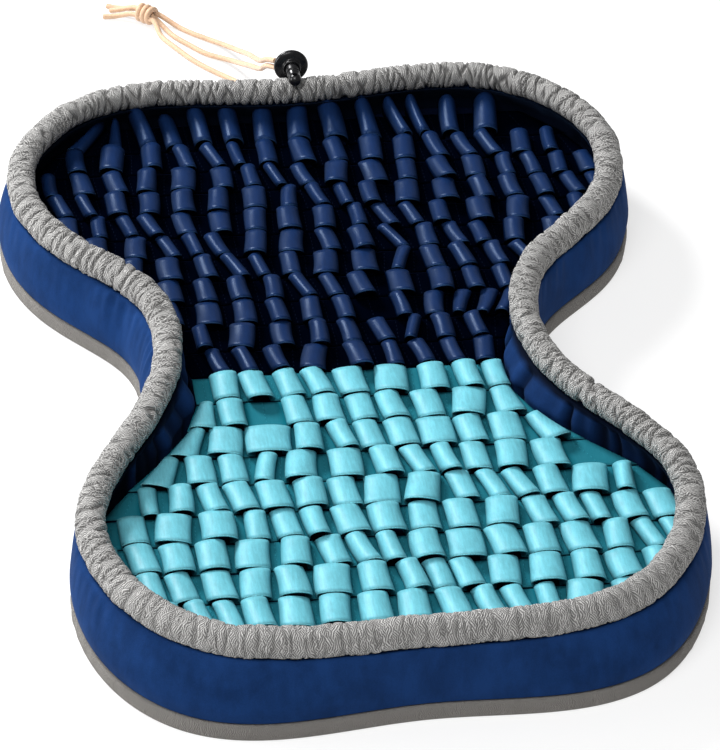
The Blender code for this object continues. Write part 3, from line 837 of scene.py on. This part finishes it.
def make_casing(settings):
    """The knit tube on the wall's top edge, creased along two sets of gathers that cross."""
    plan = Plan(settings.stations)
    share = (plan.run / plan.length)[:, None]
    turn = 2 * math.pi * np.arange(settings.sides)[None, :] / settings.sides
    gathers = round(plan.length / settings.gather_length)
    bow = np.cos(turn - GATHERS_BOW_TO)
    drift = ripples(GATHERS_DRIFT, share, turn / math.pi)
    bunch = ripples(GATHERS_BUNCH, share, 0 * turn)
    slant = settings.chevron * 0.5
    main = 0.0 * share
    for way, comes_and_goes in GATHER_SETS:
        there = np.clip(0.55 + 1.1 * ripples(comes_and_goes, share, turn / math.pi), 0, 1)
        line = crease(gathers * share + way * (slant * bow + 0.17 * drift) + 0.4 * bunch, 4.0)
        main = np.maximum(main, line * there)
    # finer creases run between the gathers, and everything is shallower at the front
    small = crease(2.3 * gathers * share + 0.9 * np.sin(turn) + 0.5 * drift, 2.0)
    soft = ripples(CASING_SOFTNESS, share, turn / (2 * math.pi))
    front = ramp(plan.place[:, 1], FRONT_BEGINS_Y, -FRONT_BLEND)[:, None]
    depth = settings.gather_depth * (1 - 0.6 * front)
    grow = GATHERS_STAND_OUT - depth * main - 0.1 * depth * small + SOFTNESS_DEPTH * soft
    outward, up = casing_point(turn + 0 * share, grow)
    section = np.stack([outward, up], axis=2)
    bm = unit_grid(settings.stations, settings.sides)
    # painted shade in the creases between the gathers, lighter at the front
    bend(bm, plan.places(section), closed="tube", hidden=np.clip(1.1 * main * (1 - 0.4 * front), 0, 1))
    knit = knit_finish("grey knit", settings.colour, 0.00105, 1.25, 0.00060)
    obj = add_piece("ruched_casing", bm, [knit], smooth_below=180)
    scale_uv(obj, plan.length, 2 * math.pi * CASING_HALF_SHORT)
    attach(obj, "root")
    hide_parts("rim_casing")


def wall_line(plan):
    """The wall's section from its outer seam over the top and down inside, before any fold. It is hollowed
    at the top, where the casing sits on it."""
    foot, inner = plan.foot, plan.inner_foot
    level = np.ones_like(foot)
    saddle = [
        casing_point(CASING_FIRST_SIDE - side * 2 * math.pi / 8, SEAM_GAP + 0.0012)
        for side in (0, 1, 2)
    ]
    corners = [
        (foot - 0.0020, WALL_SEAM_Z * level),
        (foot - 0.0006, (WALL_SEAM_Z + 0.0014) * level),
        (foot + 0.0004, 0.0210 * level),
        (0.45 * foot + 0.0047, 0.0370 * level),
        *[(outward * level, up * level) for outward, up in saddle],
        (0.5 * inner - 0.0036, 0.0412 * level),
        (inner - 0.0004, 0.0345 * level),
        (inner, 0.0285 * level),
        (inner, WALL_SEAM_Z * level),
    ]
    return smooth_line(np.stack([np.stack(corner, axis=1) for corner in corners], axis=1), 5)


def make_wall(settings):
    """The wall, with upright folds outside and puffed pleats inside the waist."""
    plan = Plan(settings.stations)
    section = wall_line(plan)
    count = section.shape[1]
    share = (plan.run / plan.length)[:, None]
    waist = plan.waist[:, None]
    up = section[:, :, 1]
    number = np.arange(count)[None, :] / (count - 1)
    outside = ramp(number, 0.42, -0.06)
    inside = ramp(number, 0.62, 0.06)
    height = up / WAVE_HEIGHT
    folds = 0.62 * (0.12 + 0.88 * waist) * ripples(WALL_FOLDS, share, height) * ramp(up, 0.013, 0.012)
    near_rim = ramp(up, 0.024, 0.018) ** 1.5
    creases = CREASE_DEPTH * (0.35 + 0.65 * waist) * ripples(WALL_CREASES, share, height) * near_rim
    billow = BILLOW_DEPTH * ripples(WALL_BILLOW, share, height) * ramp(up, 0.013, 0.012)
    drift = ripples(PLEATS_DRIFT, share, height, count=6)
    puffs = (0.5 - 0.5 * np.cos(2 * math.pi * (PLEATS_ROUND * share + 0.22 * drift))) ** 0.6
    low_waist = hump(plan.place[:, 1], PLEATS_CENTRE_Y, PLEATS_REACH)[:, None]
    pleats = settings.pleat_depth * (0.2 + 0.8 * low_waist) * (puffs - 0.75) * ramp(up, 0.012, 0.01)
    move = outside * (settings.fold_depth * folds + creases + billow) + inside * pleats
    section = section + section_normals(section) * move[:, :, None]
    bm = unit_grid(settings.stations, count)
    # painted shade on the inner side of the wall: full at the top inside and in the lobes, and between the
    # puffed pleats at the waist
    in_the_lobes = 1 - 0.92 * low_waist
    behind_rim = ramp(number, 0.50, 0.06)
    hidden = behind_rim * np.clip(in_the_lobes + 0.75 * (1 - puffs) + (1 - inside), 0, 1)
    bend(bm, plan.places(section), closed="tube", hidden=hidden)
    obj = add_piece("puffed_wall", bm, [suede_finish(settings)], smooth_below=70)
    scale_uv(obj, plan.length, 0.12)
    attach(obj, "root")
    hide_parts("wall")


def make_slab(name, plan, edge, materials):
    """A flat panel of the plan's outline. edge gives its rim as (outward array, z), from below upwards."""
    level = np.ones(len(plan.foot))
    section = np.stack([np.stack([outward, z * level], axis=1) for outward, z in edge], axis=1)
    bm = unit_grid(len(level), len(edge) - 1)
    bend(bm, plan.places(section), closed="round")
    rims = [item for item in bm.edges if item.is_boundary]
    bmesh.ops.holes_fill(bm, edges=rims, sides=0)
    return add_piece(name, bm, materials, smooth_below=40)


def make_base(settings):
    """The bottom panel, whose edge shows as a band along the floor."""
    plan = Plan(720)
    foot = plan.foot
    share = plan.run / plan.length
    uneven = 0.00018 * ripples(BASE_UNEVEN, share, 0 * share)
    edge = (
        (foot - 0.0009, 0.0),
        (foot - 0.0002, 0.0005),
        (foot + uneven, 0.0016),
        (foot + 0.0002 + uneven, 0.0045),
        (foot + 0.0002 + uneven, 0.0075),
        (foot - 0.0001 + uneven, 0.0088),
        (foot - 0.0007, 0.0097),
        (foot - 0.0016, BASE_THICKNESS),
    )
    band = knit_finish("grey base cloth", settings.base_colour, 0.00075, 1.5, 0.00018)
    obj = make_slab("base_band", plan, edge, [band])
    scale_uv(obj, plan.length, BASE_THICKNESS + 0.0030)
    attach(obj, "root")
    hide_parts("base")


def make_floor_pad():
    """The cushion floor inside the wall, with a rounded upper edge."""
    plan = Plan(360)
    edge = plan.inner_foot - PAD_CLEARANCE
    rim = (
        (edge - 0.0008, WALL_SEAM_Z),
        (edge, WALL_SEAM_Z + 0.0010),
        (edge, PAD_TOP_Z - 0.0035),
        (edge - 0.0007, PAD_TOP_Z - 0.0012),
        (edge - 0.0026, PAD_TOP_Z - 0.0001),
        (edge - 0.0040, PAD_TOP_Z),
    )
    obj = make_slab("cushion_floor", plan, rim, [shaded_pad_finish()])
    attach(obj, "root")
    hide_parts("floor_pad")


# ---- felt strips


def reach_at(outline, y):
    """How far left and right the outline lies from the mat's middle, at this y of the tilted rows."""
    level = outline[:, 1] + STRIP_TILT * outline[:, 0]
    crossings = []
    for i in range(len(outline)):
        a, b = level[i - 1], level[i]
        if (a - y) * (b - y) < 0:
            share = (y - a) / (b - a)
            crossings.append(outline[i - 1, 0] + share * (outline[i, 0] - outline[i - 1, 0]))
    return max(x for x in crossings if x < 0), min(x for x in crossings if x > 0)


def column_x(column, y):
    """Where a column of loops crosses this y: the columns sway, each a little behind the one before."""
    phase = COLUMN_PHASE_STEP * column
    turns = 2 * math.pi * y / COLUMN_SWAY_LENGTH
    sway = math.sin(turns + phase) + 0.45 * math.sin(2.3 * turns + 1.7 * phase)
    return COLUMN_PITCH * column + COLUMN_SWAY * sway


def wanted_loops(y_back, y_front, square, taller, chance):
    """Each column's loop in one strip: its middle at the back and front edges, half width, height."""
    y_middle = (y_back + y_front) / 2
    for column in range(-9, 10):
        fullness, tallness, keep, lean, twist = (chance.random() for _ in range(5))
        if square:
            x = COLUMN_PITCH * column
            yield x, x, FRONT_LOOP_HALF_WIDTH, FRONT_LOOP_HEIGHT
            continue
        if keep < WAIST_LOOPS_LEFT_OUT * waist_share(y_middle):
            continue
        x = column_x(column, y_middle)
        room = min(column_x(column + 1, y_middle) - x, x - column_x(column - 1, y_middle)) / 2
        low, high = LOOP_FULLNESS
        half = (room - LEAST_FLAT / 2) * (low + (high - low) * fullness)
        half = min(max(half, LOOP_HALF_WIDTHS[0]), LOOP_HALF_WIDTHS[1])
        skew = LOOP_FOLLOWS_COLUMN * (column_x(column, y_front) - column_x(column, y_back))
        skew += LOOP_LEAN + (2 * lean - 1) * LOOP_LEAN_SPREAD
        if twist < TWISTED_SHARE:
            skew += math.copysign(TWISTED_LEAN, lean - 0.35)
            half = LOOP_HALF_WIDTHS[0]
        low, high = LOOP_HEIGHTS
        yield x - skew / 2, x + skew / 2, half, low + (high - low) * tallness + taller


def plan_loops(y_back, y_front, square, taller, outline, chance):
    """The loops that fit between the walls, moved or narrowed where two would be too close."""
    limits = [reach_at(outline, y) for y in (y_back, y_front)]
    left = max(low for low, _ in limits)
    right = min(high for _, high in limits)
    loops = []
    last = [left - LEAST_FLAT] * 2
    for at_back, at_front, half, height in wanted_loops(y_back, y_front, square, taller, chance):
        over = max(last[0] + LEAST_FLAT - at_back, last[1] + LEAST_FLAT - at_front) + half
        if over > half:
            continue
        if over > 0:
            at_back, at_front, half = at_back + over / 2, at_front + over / 2, half - over / 2
        spare = right - max(at_back, at_front) - half
        if spare < 0:
            at_back, at_front, half = at_back + spare / 2, at_front + spare / 2, half + spare / 2
        if half < LEAST_HALF_WIDTH:
            continue
        last = [at_back + half, at_front + half]
        loops.append(((at_back, at_front), (half, half), height))
    return loops


def narrower_reach(outline, y):
    """How far left and right a loop may lie that starts at y and lies over to the front."""
    here, further_front = reach_at(outline, y), reach_at(outline, y - LOOPS_REACH_OVER)
    return min(here, further_front, key=lambda reach: reach[1] - reach[0])


def with_filling_loops(loops, y_back, y_front, outline):
    """The loops, with tapered ones in the room beside the curved walls and plain ones in wide gaps."""
    limits = [narrower_reach(outline, y) for y in (y_back, y_front)]
    made = []
    for side in (0, 1):
        middles, halves, _ = loops[-side]
        sign = 2 * side - 1
        edges = [middles[i] + sign * (halves[i] + LEAST_FLAT) for i in (0, 1)]
        room = [sign * (limits[i][side] - edges[i]) for i in (0, 1)]
        count = max(1, round(sum(room) / 2 / END_LOOP_PITCH))
        share = [max(width / count / 2 - LEAST_FLAT / 2, 0.0) for width in room]
        if max(share) < LEAST_HALF_WIDTH or min(room) < 0:
            continue
        if min(share) < END_LOOP_TAPER * LEAST_HALF_WIDTH:
            continue
        widest = min(END_LOOP_WIDEST, min(share) / END_LOOP_TAPER)
        halves = tuple(min(half, widest) for half in share)
        for number in range(count):
            along = (number + 0.5) / count
            middles = tuple(edges[i] + sign * room[i] * along for i in (0, 1))
            made.append((middles, halves, min(LOOP_HEIGHTS[0], END_LOOP_LOW + max(halves))))
    if waist_share(y_back) < WAIST_STAYS_BARE:
        for (before, half_before, _), (after, half_after, _) in zip(loops, loops[1:]):
            edges = [(before[i] + half_before[i], after[i] - half_after[i]) for i in (0, 1)]
            half = min(high - low for low, high in edges) / 2 - LEAST_FLAT
            if half >= LEAST_HALF_WIDTH:
                middles = tuple((low + high) / 2 for low, high in edges)
                made.append((middles, (half, half), LOOP_HEIGHTS[0]))
    return sorted(loops + made)


def arch(points, roundness):
    """A loop's section as (sideways, up) for a half width and a height of 1."""
    reach = math.radians(LOOP_TURN[0] + LOOP_TURN[1] * roundness)
    low = math.cos(reach)
    turns = [reach * (2 * number / (points - 1) - 1) for number in range(points)]
    return [(math.sin(turn), (math.cos(turn) - low) / (1 - low)) for turn in turns]


def strip_lines(loops, ends, colour, settings, width, by_the_wall, chance):
    """Middle of the felt as lines[point, level, (x, away from the row's middle, z)], each line's shade, and
    the numbers of the lines along which the strip is sewn down."""
    full_shade, shade_ends = SHADE_UP_A_LOOP[colour]
    down = np.linspace(0.0, 1.0, settings.levels + 1)
    away = width * (0.5 - down)
    swell = np.sin(math.pi * down)
    lines, hidden, seams = [], [], []

    def across(back, front):
        return back + (front - back) * down

    def flat(x, z, shade):
        lines.append(np.stack([x, away, z + 0 * away], axis=1))
        hidden.append(max(FLATS_HIDDEN[colour], shade))

    def between(left, right, loop_at_left=True, loop_at_right=True):
        dip = FLAT_DIP * chance.random()
        span = float((right - left).mean())
        for step in range(1, PIECES_BETWEEN_LOOPS):
            share = step / PIECES_BETWEEN_LOOPS
            from_left = span * share if loop_at_left else 1.0
            from_right = span * (1 - share) if loop_at_right else 1.0
            if step == PIECES_BETWEEN_LOOPS // 2 and span > ROOM_FOR_STITCHES:
                seams.append(len(lines))
            shade = math.exp(-min(from_left, from_right) / LIGHT_REACHES_IN)
            flat(left + (right - left) * share, dip * math.sin(math.pi * share), shade)

    edge = across(ends[0][0], ends[1][0])
    flat(edge, 0.0, STRIP_END_SHADE)
    for number, (middles, halves, height) in enumerate(loops):
        lean = (middles[1] - middles[0]) / width
        belly = LOOP_SHOWN_WIDTH[colour] * across(*halves) - FELT_SHOWN / 2
        flare = chance.uniform(*LOOP_FLARE)
        rise = chance.uniform(*LOOP_RISE) - BACK_ROW_FALLS * by_the_wall
        tip = across(chance.uniform(*LOOP_TIP), chance.uniform(*LOOP_TIP))
        bow = chance.uniform(*LOOP_BOW)
        section = arch(settings.arch_points, chance.random())
        middle = across(*middles) + bow * swell
        wide = belly * (1 + flare * (down - 0.5))
        tall = (height - FELT_SHOWN) * (1 + rise * (2 * down - 1)) * (1 - LOOP_SAG * swell)
        between(edge, middle + section[0][0] * wide, loop_at_left=number > 0)
        for sideways, up in section:
            x = middle + sideways * wide + tip * up * tall
            turned = settings.yaw * lean * (sideways * wide) * min(1.0, up / FOOT_HELD_TO)
            lines.append(np.stack([x, away + turned, up * tall], axis=1))
            hidden.append(float(ramp(up, shade_ends, full_shade - shade_ends)))
        edge = middle + section[-1][0] * wide
    last = across(ends[0][1], ends[1][1])
    between(edge, last, loop_at_right=False)
    flat(last, 0.0, STRIP_END_SHADE)
    return np.stack(lines, axis=0), np.array(hidden), seams


def strip_rows():
    """Each row's colour and number, y of its back and front edges, whether it is the square front row,
    and how much taller its loops are."""
    for colour, rows, pitch, width in STRIP_SETS:
        for row in range(rows):
            if colour == "navy":
                y_back = COLOUR_BORDER_Y + (row + 1) * pitch
            else:
                y_back = COLOUR_BORDER_Y - row * pitch
            last = row == rows - 1
            square = last and colour == "teal"
            y_front = y_back - width
            if square:
                y_back -= FRONT_ROW_GAP
                y_front = y_back - FRONT_ROW_WIDTH
            taller = LOOP_HEIGHT_BY_THE_WALL if last else 0.0
            yield colour, row + 1, y_back, y_front, square, taller


def make_strip(colour, number, row, outlines, materials, settings, chances):
    """One felt strip with its loops, and where its stitches go."""
    y_back, y_front, square, taller = row
    loops = plan_loops(y_back, y_front, square, taller, outlines["loops"], chances[0])
    if not square:
        loops = with_filling_loops(loops, y_back, y_front, outlines["ends"])
    ends = [reach_at(outlines["ends"], y) for y in (y_back, y_front)]
    by_the_wall = taller > 0 and not square
    y_back += BACK_ROW_REACHES if by_the_wall else -ROW_GAP_SHOWN / 2
    y_front += ROW_GAP_SHOWN / 2
    width = y_back - y_front
    lines, hidden, seams = strip_lines(loops, ends, colour, settings, width, by_the_wall, chances[1])
    x, away, z = lines[:, :, 0], lines[:, :, 1], lines[:, :, 2]
    y = (y_back + y_front) / 2 + away - STRIP_TILT * x
    y = y + ROW_WAVE * np.sin(x / ROW_WAVE_LENGTH + 2.4 * chances[1].random() * math.pi)
    y = y - np.interp(y, *zip(*LOOPS_LIE_OVER)) * z
    places = np.stack([x, y, STRIP_FLOOR_Z + FELT_SHOWN / 2 + z], axis=2)
    points, levels = x.shape
    bm = unit_grid(points - 1, levels - 1)
    bend(bm, places, closed=False, hidden=np.repeat(hidden[:, None], levels, axis=1))
    steps = np.linalg.norm(np.diff(places, axis=0), axis=2)
    cut = float(steps.sum(axis=0).mean())
    layer = bm.verts.layers.float["hidden"]
    for face in bm.faces:
        # faces deep in painted shade take the copy of the felt without gloss
        face.material_index = 2 if min(vert[layer] for vert in face.verts) > GLOSS_ENDS_AT else 0
    obj = add_piece(f"felt_{colour}_{number:02d}", bm, materials, smooth_below=75, normals=False)
    scale_uv(obj, cut, width)
    if obj.data.polygons[0].normal.z < 0:
        obj.data.flip_normals()
    thick = obj.modifiers.new("felt", "SOLIDIFY")
    thick.thickness = FELT_SHOWN
    thick.offset = 0.0
    thick.use_even_offset = False
    thick.material_offset_rim = 1
    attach(obj, "root")
    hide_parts(f"strip_{colour}_{number:02d}")
    face_up = np.array([0.0, 0.0, FELT_SHOWN / 2])
    return [(places[line, 0] + face_up, places[line, -1] + face_up) for line in seams]


def make_stitches(colour, seams, material):
    """Short stitches across the strips, where they are sewn down between two loops."""
    one = bmesh.new()
    bmesh.ops.create_icosphere(one, subdivisions=1, radius=1.0)
    bmesh.ops.scale(one, verts=one.verts, vec=STITCH_HALF_SIZE)
    stitch = bpy.data.meshes.new("one stitch")
    bm = bmesh.new()
    at = Vector()
    for back, front in seams:
        run = Vector(front) - Vector(back)
        count = max(2, round(run.length / STITCH_PITCH))
        for number in range(count):
            place = Vector(back) + run * (number + 0.5) / count
            bmesh.ops.translate(one, verts=one.verts, vec=place - at)
            at = place
            one.to_mesh(stitch)
            bm.from_mesh(stitch)
    one.free()
    bpy.data.meshes.remove(stitch)
    obj = add_piece(f"stitches_{colour}", bm, [material], smooth_below=180)
    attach(obj, "root")


def make_strips(settings):
    """Rows from the border of the two colours outwards: navy to the back, teal to the front."""
    plan = Plan()
    outlines = {
        "ends": plan.inner_outline(STRIP_END_CLEARANCE),
        "loops": plan.inner_outline(LOOP_CLEARANCE),
    }
    chances = (random.Random(LOOP_SEED), random.Random(STRIP_SEED))
    felts = {}
    for colour, tint, roughness, gloss, edge, painted_shade in FELT_FINISHES:
        face = getattr(settings, colour)
        edges = cut_edge_glint_finish(f"{colour} cut edge", edge, painted_shade)
        felts[colour] = [
            felt_finish(f"{colour} felt", face, tint, roughness, gloss, painted_shade),
            edges,
            # copy of the felt without gloss, for faces deep in painted shade
            felt_finish(f"{colour} felt between the loops", face, tint, 0.95, 0.0, painted_shade),
            edges,
        ]
    seams = {colour: [] for colour in felts}
    for colour, number, *row in strip_rows():
        seams[colour] += make_strip(colour, number, row, outlines, felts[colour], settings, chances)
    for colour, thread in SHADED_THREADS:
        make_stitches(colour, seams[colour], thread_finish(f"{colour} thread", thread))


# ---- cord, knot and lock


def make_cord(name, nodes, route, material, spacing):
    """One strand, as even points on a smooth curve through its route."""
    route = np.array(route)
    knots = distances(route)
    pieces = max(2, round(knots[-1] / spacing))
    points = smooth_curve(knots, route, np.linspace(0.0, knots[-1], pieces + 1), closed=False)
    points[:, 2] = np.maximum(points[:, 2], CORD_LIES_AT_Z)
    curve = bpy.data.curves.new(name, "CURVE")
    curve.dimensions = "3D"
    curve.bevel_depth = CORD_DIAMETER / 2
    curve.bevel_resolution = 5
    curve.use_fill_caps = True
    spline = curve.splines.new("POLY")
    spline.points.add(len(points) - 1)
    spline.use_smooth = True
    for point, place in zip(spline.points, points):
        point.co = (*place, 1.0)
    curve.materials.append(material)
    obj = bpy.data.objects.new(name, curve)
    bpy.context.scene.collection.objects.link(obj)
    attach(obj, "root")
    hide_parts(*nodes)
    tuple(points[0])
    float(distances(points)[-1])


def spin_round(bm, profile, steps):
    """Spins a profile once round the z axis."""
    bmesh.ops.spin(
        bm,
        geom=profile,
        cent=(0, 0, 0),
        axis=(0, 0, 1),
        angle=2 * math.pi,
        steps=steps,
        use_merge=True,
    )


def stand_along(bm, direction, place):
    """Turns what was made round the z axis to this direction, and moves it to its place."""
    turn = direction.to_track_quat("Z", "Y").to_matrix().to_4x4()
    bmesh.ops.transform(bm, matrix=turn, verts=bm.verts)
    bmesh.ops.translate(bm, vec=place, verts=bm.verts)


def make_knot(material):
    """Three turns of cord side by side round the strands. A turn's points are tagged once it is in place."""
    bm = bmesh.new()
    for distance, radius, lean in KNOT_TURNS:
        ring = bmesh.ops.create_circle(bm, radius=KNOT_CORD_RADIUS, segments=16)["verts"]
        bmesh.ops.rotate(bm, verts=ring, cent=(0, 0, 0), matrix=Matrix.Rotation(math.pi / 2, 3, "X"))
        bmesh.ops.translate(bm, verts=ring, vec=(radius, 0, 0))
        edges = list({edge for vert in ring for edge in vert.link_edges})
        spin_round(bm, ring + edges, 48)
        turn = [vert for vert in bm.verts if not vert.tag]
        bmesh.ops.rotate(bm, verts=turn, cent=(0, 0, 0), matrix=Matrix.Rotation(lean, 3, "Y"))
        bmesh.ops.translate(bm, verts=turn, vec=(0, 0, distance))
        for vert in bm.verts:
            vert.tag = True
    stand_along(bm, KNOT_ALONG, KNOT_CENTRE)
    bmesh.ops.remove_doubles(bm, verts=bm.verts, dist=1e-6)
    obj = add_piece("knot_turns", bm, [material], smooth_below=180)
    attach(obj, "root")
    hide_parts("cord_knot")
    return obj


def make_cords(settings):
    """The three strands, and the knot that they pass through."""
    material = cord_finish(settings)
    knot = make_knot(material)
    for name, nodes, route in CORD_ROUTES:
        make_cord(name, nodes, route, material, settings.point_spacing)


def spun(name, profile, material):
    """A profile of (distance back, radius), spun round the lock's axis."""
    bm = bmesh.new()
    line = [bm.verts.new((radius, 0.0, distance)) for distance, radius in profile]
    edges = [bm.edges.new(pair) for pair in zip(line, line[1:])]
    spin_round(bm, line + edges, LOCK_SIDES)
    bmesh.ops.remove_doubles(bm, verts=bm.verts, dist=1e-7)
    stand_along(bm, -LOCK_FORWARD, LOCK_MOUTH)
    return add_piece(name, bm, [material], smooth_below=35)


def rounded(points, radius, steps=3):
    """The profile with a short curve at each corner between its ends."""
    made = [points[0]]
    for before, here, after in zip(points, points[1:], points[2:]):
        here = Vector(here)
        to_before, to_after = Vector(before) - here, Vector(after) - here
        reach = min(radius, 0.45 * to_before.length, 0.45 * to_after.length)
        start = here + to_before.normalized() * reach
        end = here + to_after.normalized() * reach
        for step in range(steps + 1):
            t = step / steps
            made.append(tuple(start * (1 - t) ** 2 + here * 2 * t * (1 - t) + end * t**2))
    made.append(points[-1])
    return made


def make_lock_body(material):
    """The bell, bored for the plunger."""
    bore = PLUNGER_RADIUS + PLUNGER_CLEARANCE
    profile = ((LOCK_BORE_DEPTH, 0.0), (LOCK_BORE_DEPTH, bore), (0.0004, bore), *LOCK_SHELL)
    obj = spun("lock_bell", rounded(profile, 0.0007), material)
    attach(obj, "root")
    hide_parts("lock_body")


def make_lock_plunger(material):
    """The sleeve with its rings, the neck, and the round end with its eyelet."""
    profile = [
        (PLUNGER_TAIL, 0.0),
        (PLUNGER_TAIL, PLUNGER_RADIUS - 0.0006),
        (PLUNGER_TAIL - 0.0006, PLUNGER_RADIUS),
        *((PLUNGER_TIP + at, radius) for at, radius in PLUNGER_RINGS),
        (PLUNGER_TIP + 0.0042, PLUNGER_NECK),
    ]
    for degrees in PLUNGER_BALL_TURNS:
        turn = math.radians(degrees)
        profile.append((PLUNGER_TIP - PLUNGER_RADIUS * math.sin(turn), PLUNGER_RADIUS * math.cos(turn)))
    profile.append((PLUNGER_TIP - PLUNGER_RADIUS, 0.0))
    obj = spun("lock_button", profile, material)
    hole = bmesh.new()
    bmesh.ops.create_cone(
        hole,
        cap_ends=True,
        segments=40,
        radius1=PLUNGER_EYELET_RADIUS,
        radius2=PLUNGER_EYELET_RADIUS,
        depth=EYELET_CUTTER_LENGTH,
    )
    bmesh.ops.translate(hole, vec=LOCK_MOUTH - LOCK_FORWARD * PLUNGER_TIP, verts=hole.verts)
    cutter = add_piece("eyelet_cutter", hole, [material])
    cut = obj.modifiers.new("eyelet", "BOOLEAN")
    cut.operation = "DIFFERENCE"
    cut.solver = "EXACT"
    cut.object = cutter
    apply_modifiers(obj)
    bpy.data.objects.remove(cutter)
    obj.data.shade_smooth()
    obj.data.set_sharp_from_angle(angle=math.radians(40))
    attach(obj, "lock_plunger")
    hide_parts("lock_plunger")


# ---- stage


def aim(obj, place, target):
    obj.location = place
    obj.rotation_mode = "QUATERNION"
    obj.rotation_quaternion = (Vector(target) - Vector(place)).to_track_quat("-Z", "Y")


def area_light(name, place, target, power, size):
    data = bpy.data.lights.new(name, "AREA")
    data.shape = "DISK"
    data.size = size
    data.energy = power
    obj = bpy.data.objects.new(name, data)
    bpy.context.scene.collection.objects.link(obj)
    aim(obj, place, target)


def make_stage(settings):
    """The camera, the white floor, the daylight and the lights."""
    scene = bpy.context.scene
    data = bpy.data.cameras.new("camera")
    data.lens = settings.lens
    data.sensor_width = 36.0
    data.clip_start, data.clip_end = 0.05, 30.0
    camera = bpy.data.objects.new("camera", data)
    scene.collection.objects.link(camera)
    aim(camera, settings.camera_place, settings.camera_target)
    scene.camera = camera

    bm = bmesh.new()
    bmesh.ops.create_grid(bm, x_segments=8, y_segments=8, size=settings.floor_size / 2)
    paper = Finish("white paper floor", (0.38, 0.38, 0.38), 0.9)
    grain = paper.noise(6.0, detail=2.0)
    paper.paint(paper.mixed(grain, paper.tone(0.995), paper.tone(1.005)))
    paper.feed(paper.shader, {"Emission Color": WHITE, "Emission Strength": settings.floor_glow})
    floor = add_piece("floor", bm, [paper.material], normals=False)

    world = bpy.data.worlds.new("soft daylight")
    world.use_nodes = True
    sky = world.node_tree.nodes["Background"]
    sky.inputs["Color"].default_value = WHITE
    sky.inputs["Strength"].default_value = settings.daylight
    scene.world = world
    for name, place, power, size in LIGHTS:
        area_light(name, place, LIGHTS_AIM, getattr(settings, power), size)
    scene.view_settings.view_transform = "Standard"
    scene.view_settings.look = "None"


# ---- operators and panel


class SNUFFLE_OT_stage(bpy.types.Operator):
    """Makes the floor, the lights and the camera"""

    bl_idname = "snuffle.stage"
    bl_label = "Stage"

    def execute(self, context):
        make_stage(context.scene.snuffle_mat.stage)
        return {"FINISHED"}


class SNUFFLE_OT_cords(bpy.types.Operator):
    """Makes the drawcord's three strands with their bare ends, and the knot round them"""

    bl_idname = "snuffle.cords"
    bl_label = "Drawcord and knot"

    def execute(self, context):
        make_cords(context.scene.snuffle_mat.cord)
        return {"FINISHED"}


class SNUFFLE_OT_lock(bpy.types.Operator):
    """Makes the cord lock's bell and its sprung button"""

    bl_idname = "snuffle.lock"
    bl_label = "Cord lock"

    def execute(self, context):
        plastic = plastic_finish(context.scene.snuffle_mat.cord)
        make_lock_body(plastic)
        make_lock_plunger(plastic)
        return {"FINISHED"}


class SNUFFLE_OT_base(bpy.types.Operator):
    """Makes the grey base, whose edge is the band along the floor, and the cushion floor on it"""

    bl_idname = "snuffle.base"
    bl_label = "Base and cushion floor"

    def execute(self, context):
        make_base(context.scene.snuffle_mat.wall)
        make_floor_pad()
        return {"FINISHED"}


class SNUFFLE_OT_wall(bpy.types.Operator):
    """Makes the padded blue wall with its folds"""

    bl_idname = "snuffle.wall"
    bl_label = "Wall"

    def execute(self, context):
        make_wall(context.scene.snuffle_mat.wall)
        return {"FINISHED"}


class SNUFFLE_OT_casing(bpy.types.Operator):
    """Makes the ruched grey casing on the wall's top edge"""

    bl_idname = "snuffle.casing"
    bl_label = "Casing"

    def execute(self, context):
        make_casing(context.scene.snuffle_mat.casing)
        return {"FINISHED"}


class SNUFFLE_OT_strips(bpy.types.Operator):
    """Makes the rows of looped felt strips"""

    bl_idname = "snuffle.strips"
    bl_label = "Felt strips"

    def execute(self, context):
        make_strips(context.scene.snuffle_mat.felt)
        return {"FINISHED"}


STEPS = (
    SNUFFLE_OT_stage,
    SNUFFLE_OT_cords,
    SNUFFLE_OT_lock,
    SNUFFLE_OT_base,
    SNUFFLE_OT_wall,
    SNUFFLE_OT_casing,
    SNUFFLE_OT_strips,
)


class SNUFFLE_PT_panel(bpy.types.Panel):
    """Lists the mat's settings and pieces"""

    bl_idname = "SNUFFLE_PT_panel"
    bl_label = "Snuffle mat"
    bl_space_type = "VIEW_3D"
    bl_region_type = "UI"
    bl_category = "Snuffle mat"

    def draw(self, context):
        mat = context.scene.snuffle_mat
        for settings in (mat.stage, mat.cord, mat.casing, mat.wall, mat.felt):
            box = self.layout.box()
            for name in settings.__annotations__:
                box.prop(settings, name)
        for step in STEPS:
            self.layout.operator(step.bl_idname)


CLASSES = (
    StageSettings,
    CordSettings,
    CasingSettings,
    WallSettings,
    FeltSettings,
    SnuffleMat,
    *STEPS,
    SNUFFLE_PT_panel,
)


def register():
    for item in CLASSES:
        bpy.utils.register_class(item)
    bpy.types.Scene.snuffle_mat = PointerProperty(type=SnuffleMat)


def unregister():
    del bpy.types.Scene.snuffle_mat
    for item in reversed(CLASSES):
        bpy.utils.unregister_class(item)


def main():
    register()
    bpy.ops.snuffle.stage()
    bpy.ops.snuffle.cords()
    bpy.ops.snuffle.lock()
    bpy.ops.snuffle.base()
    bpy.ops.snuffle.wall()
    bpy.ops.snuffle.casing()
    bpy.ops.snuffle.strips()
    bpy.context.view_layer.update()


if __name__ == "__main__":
    main()
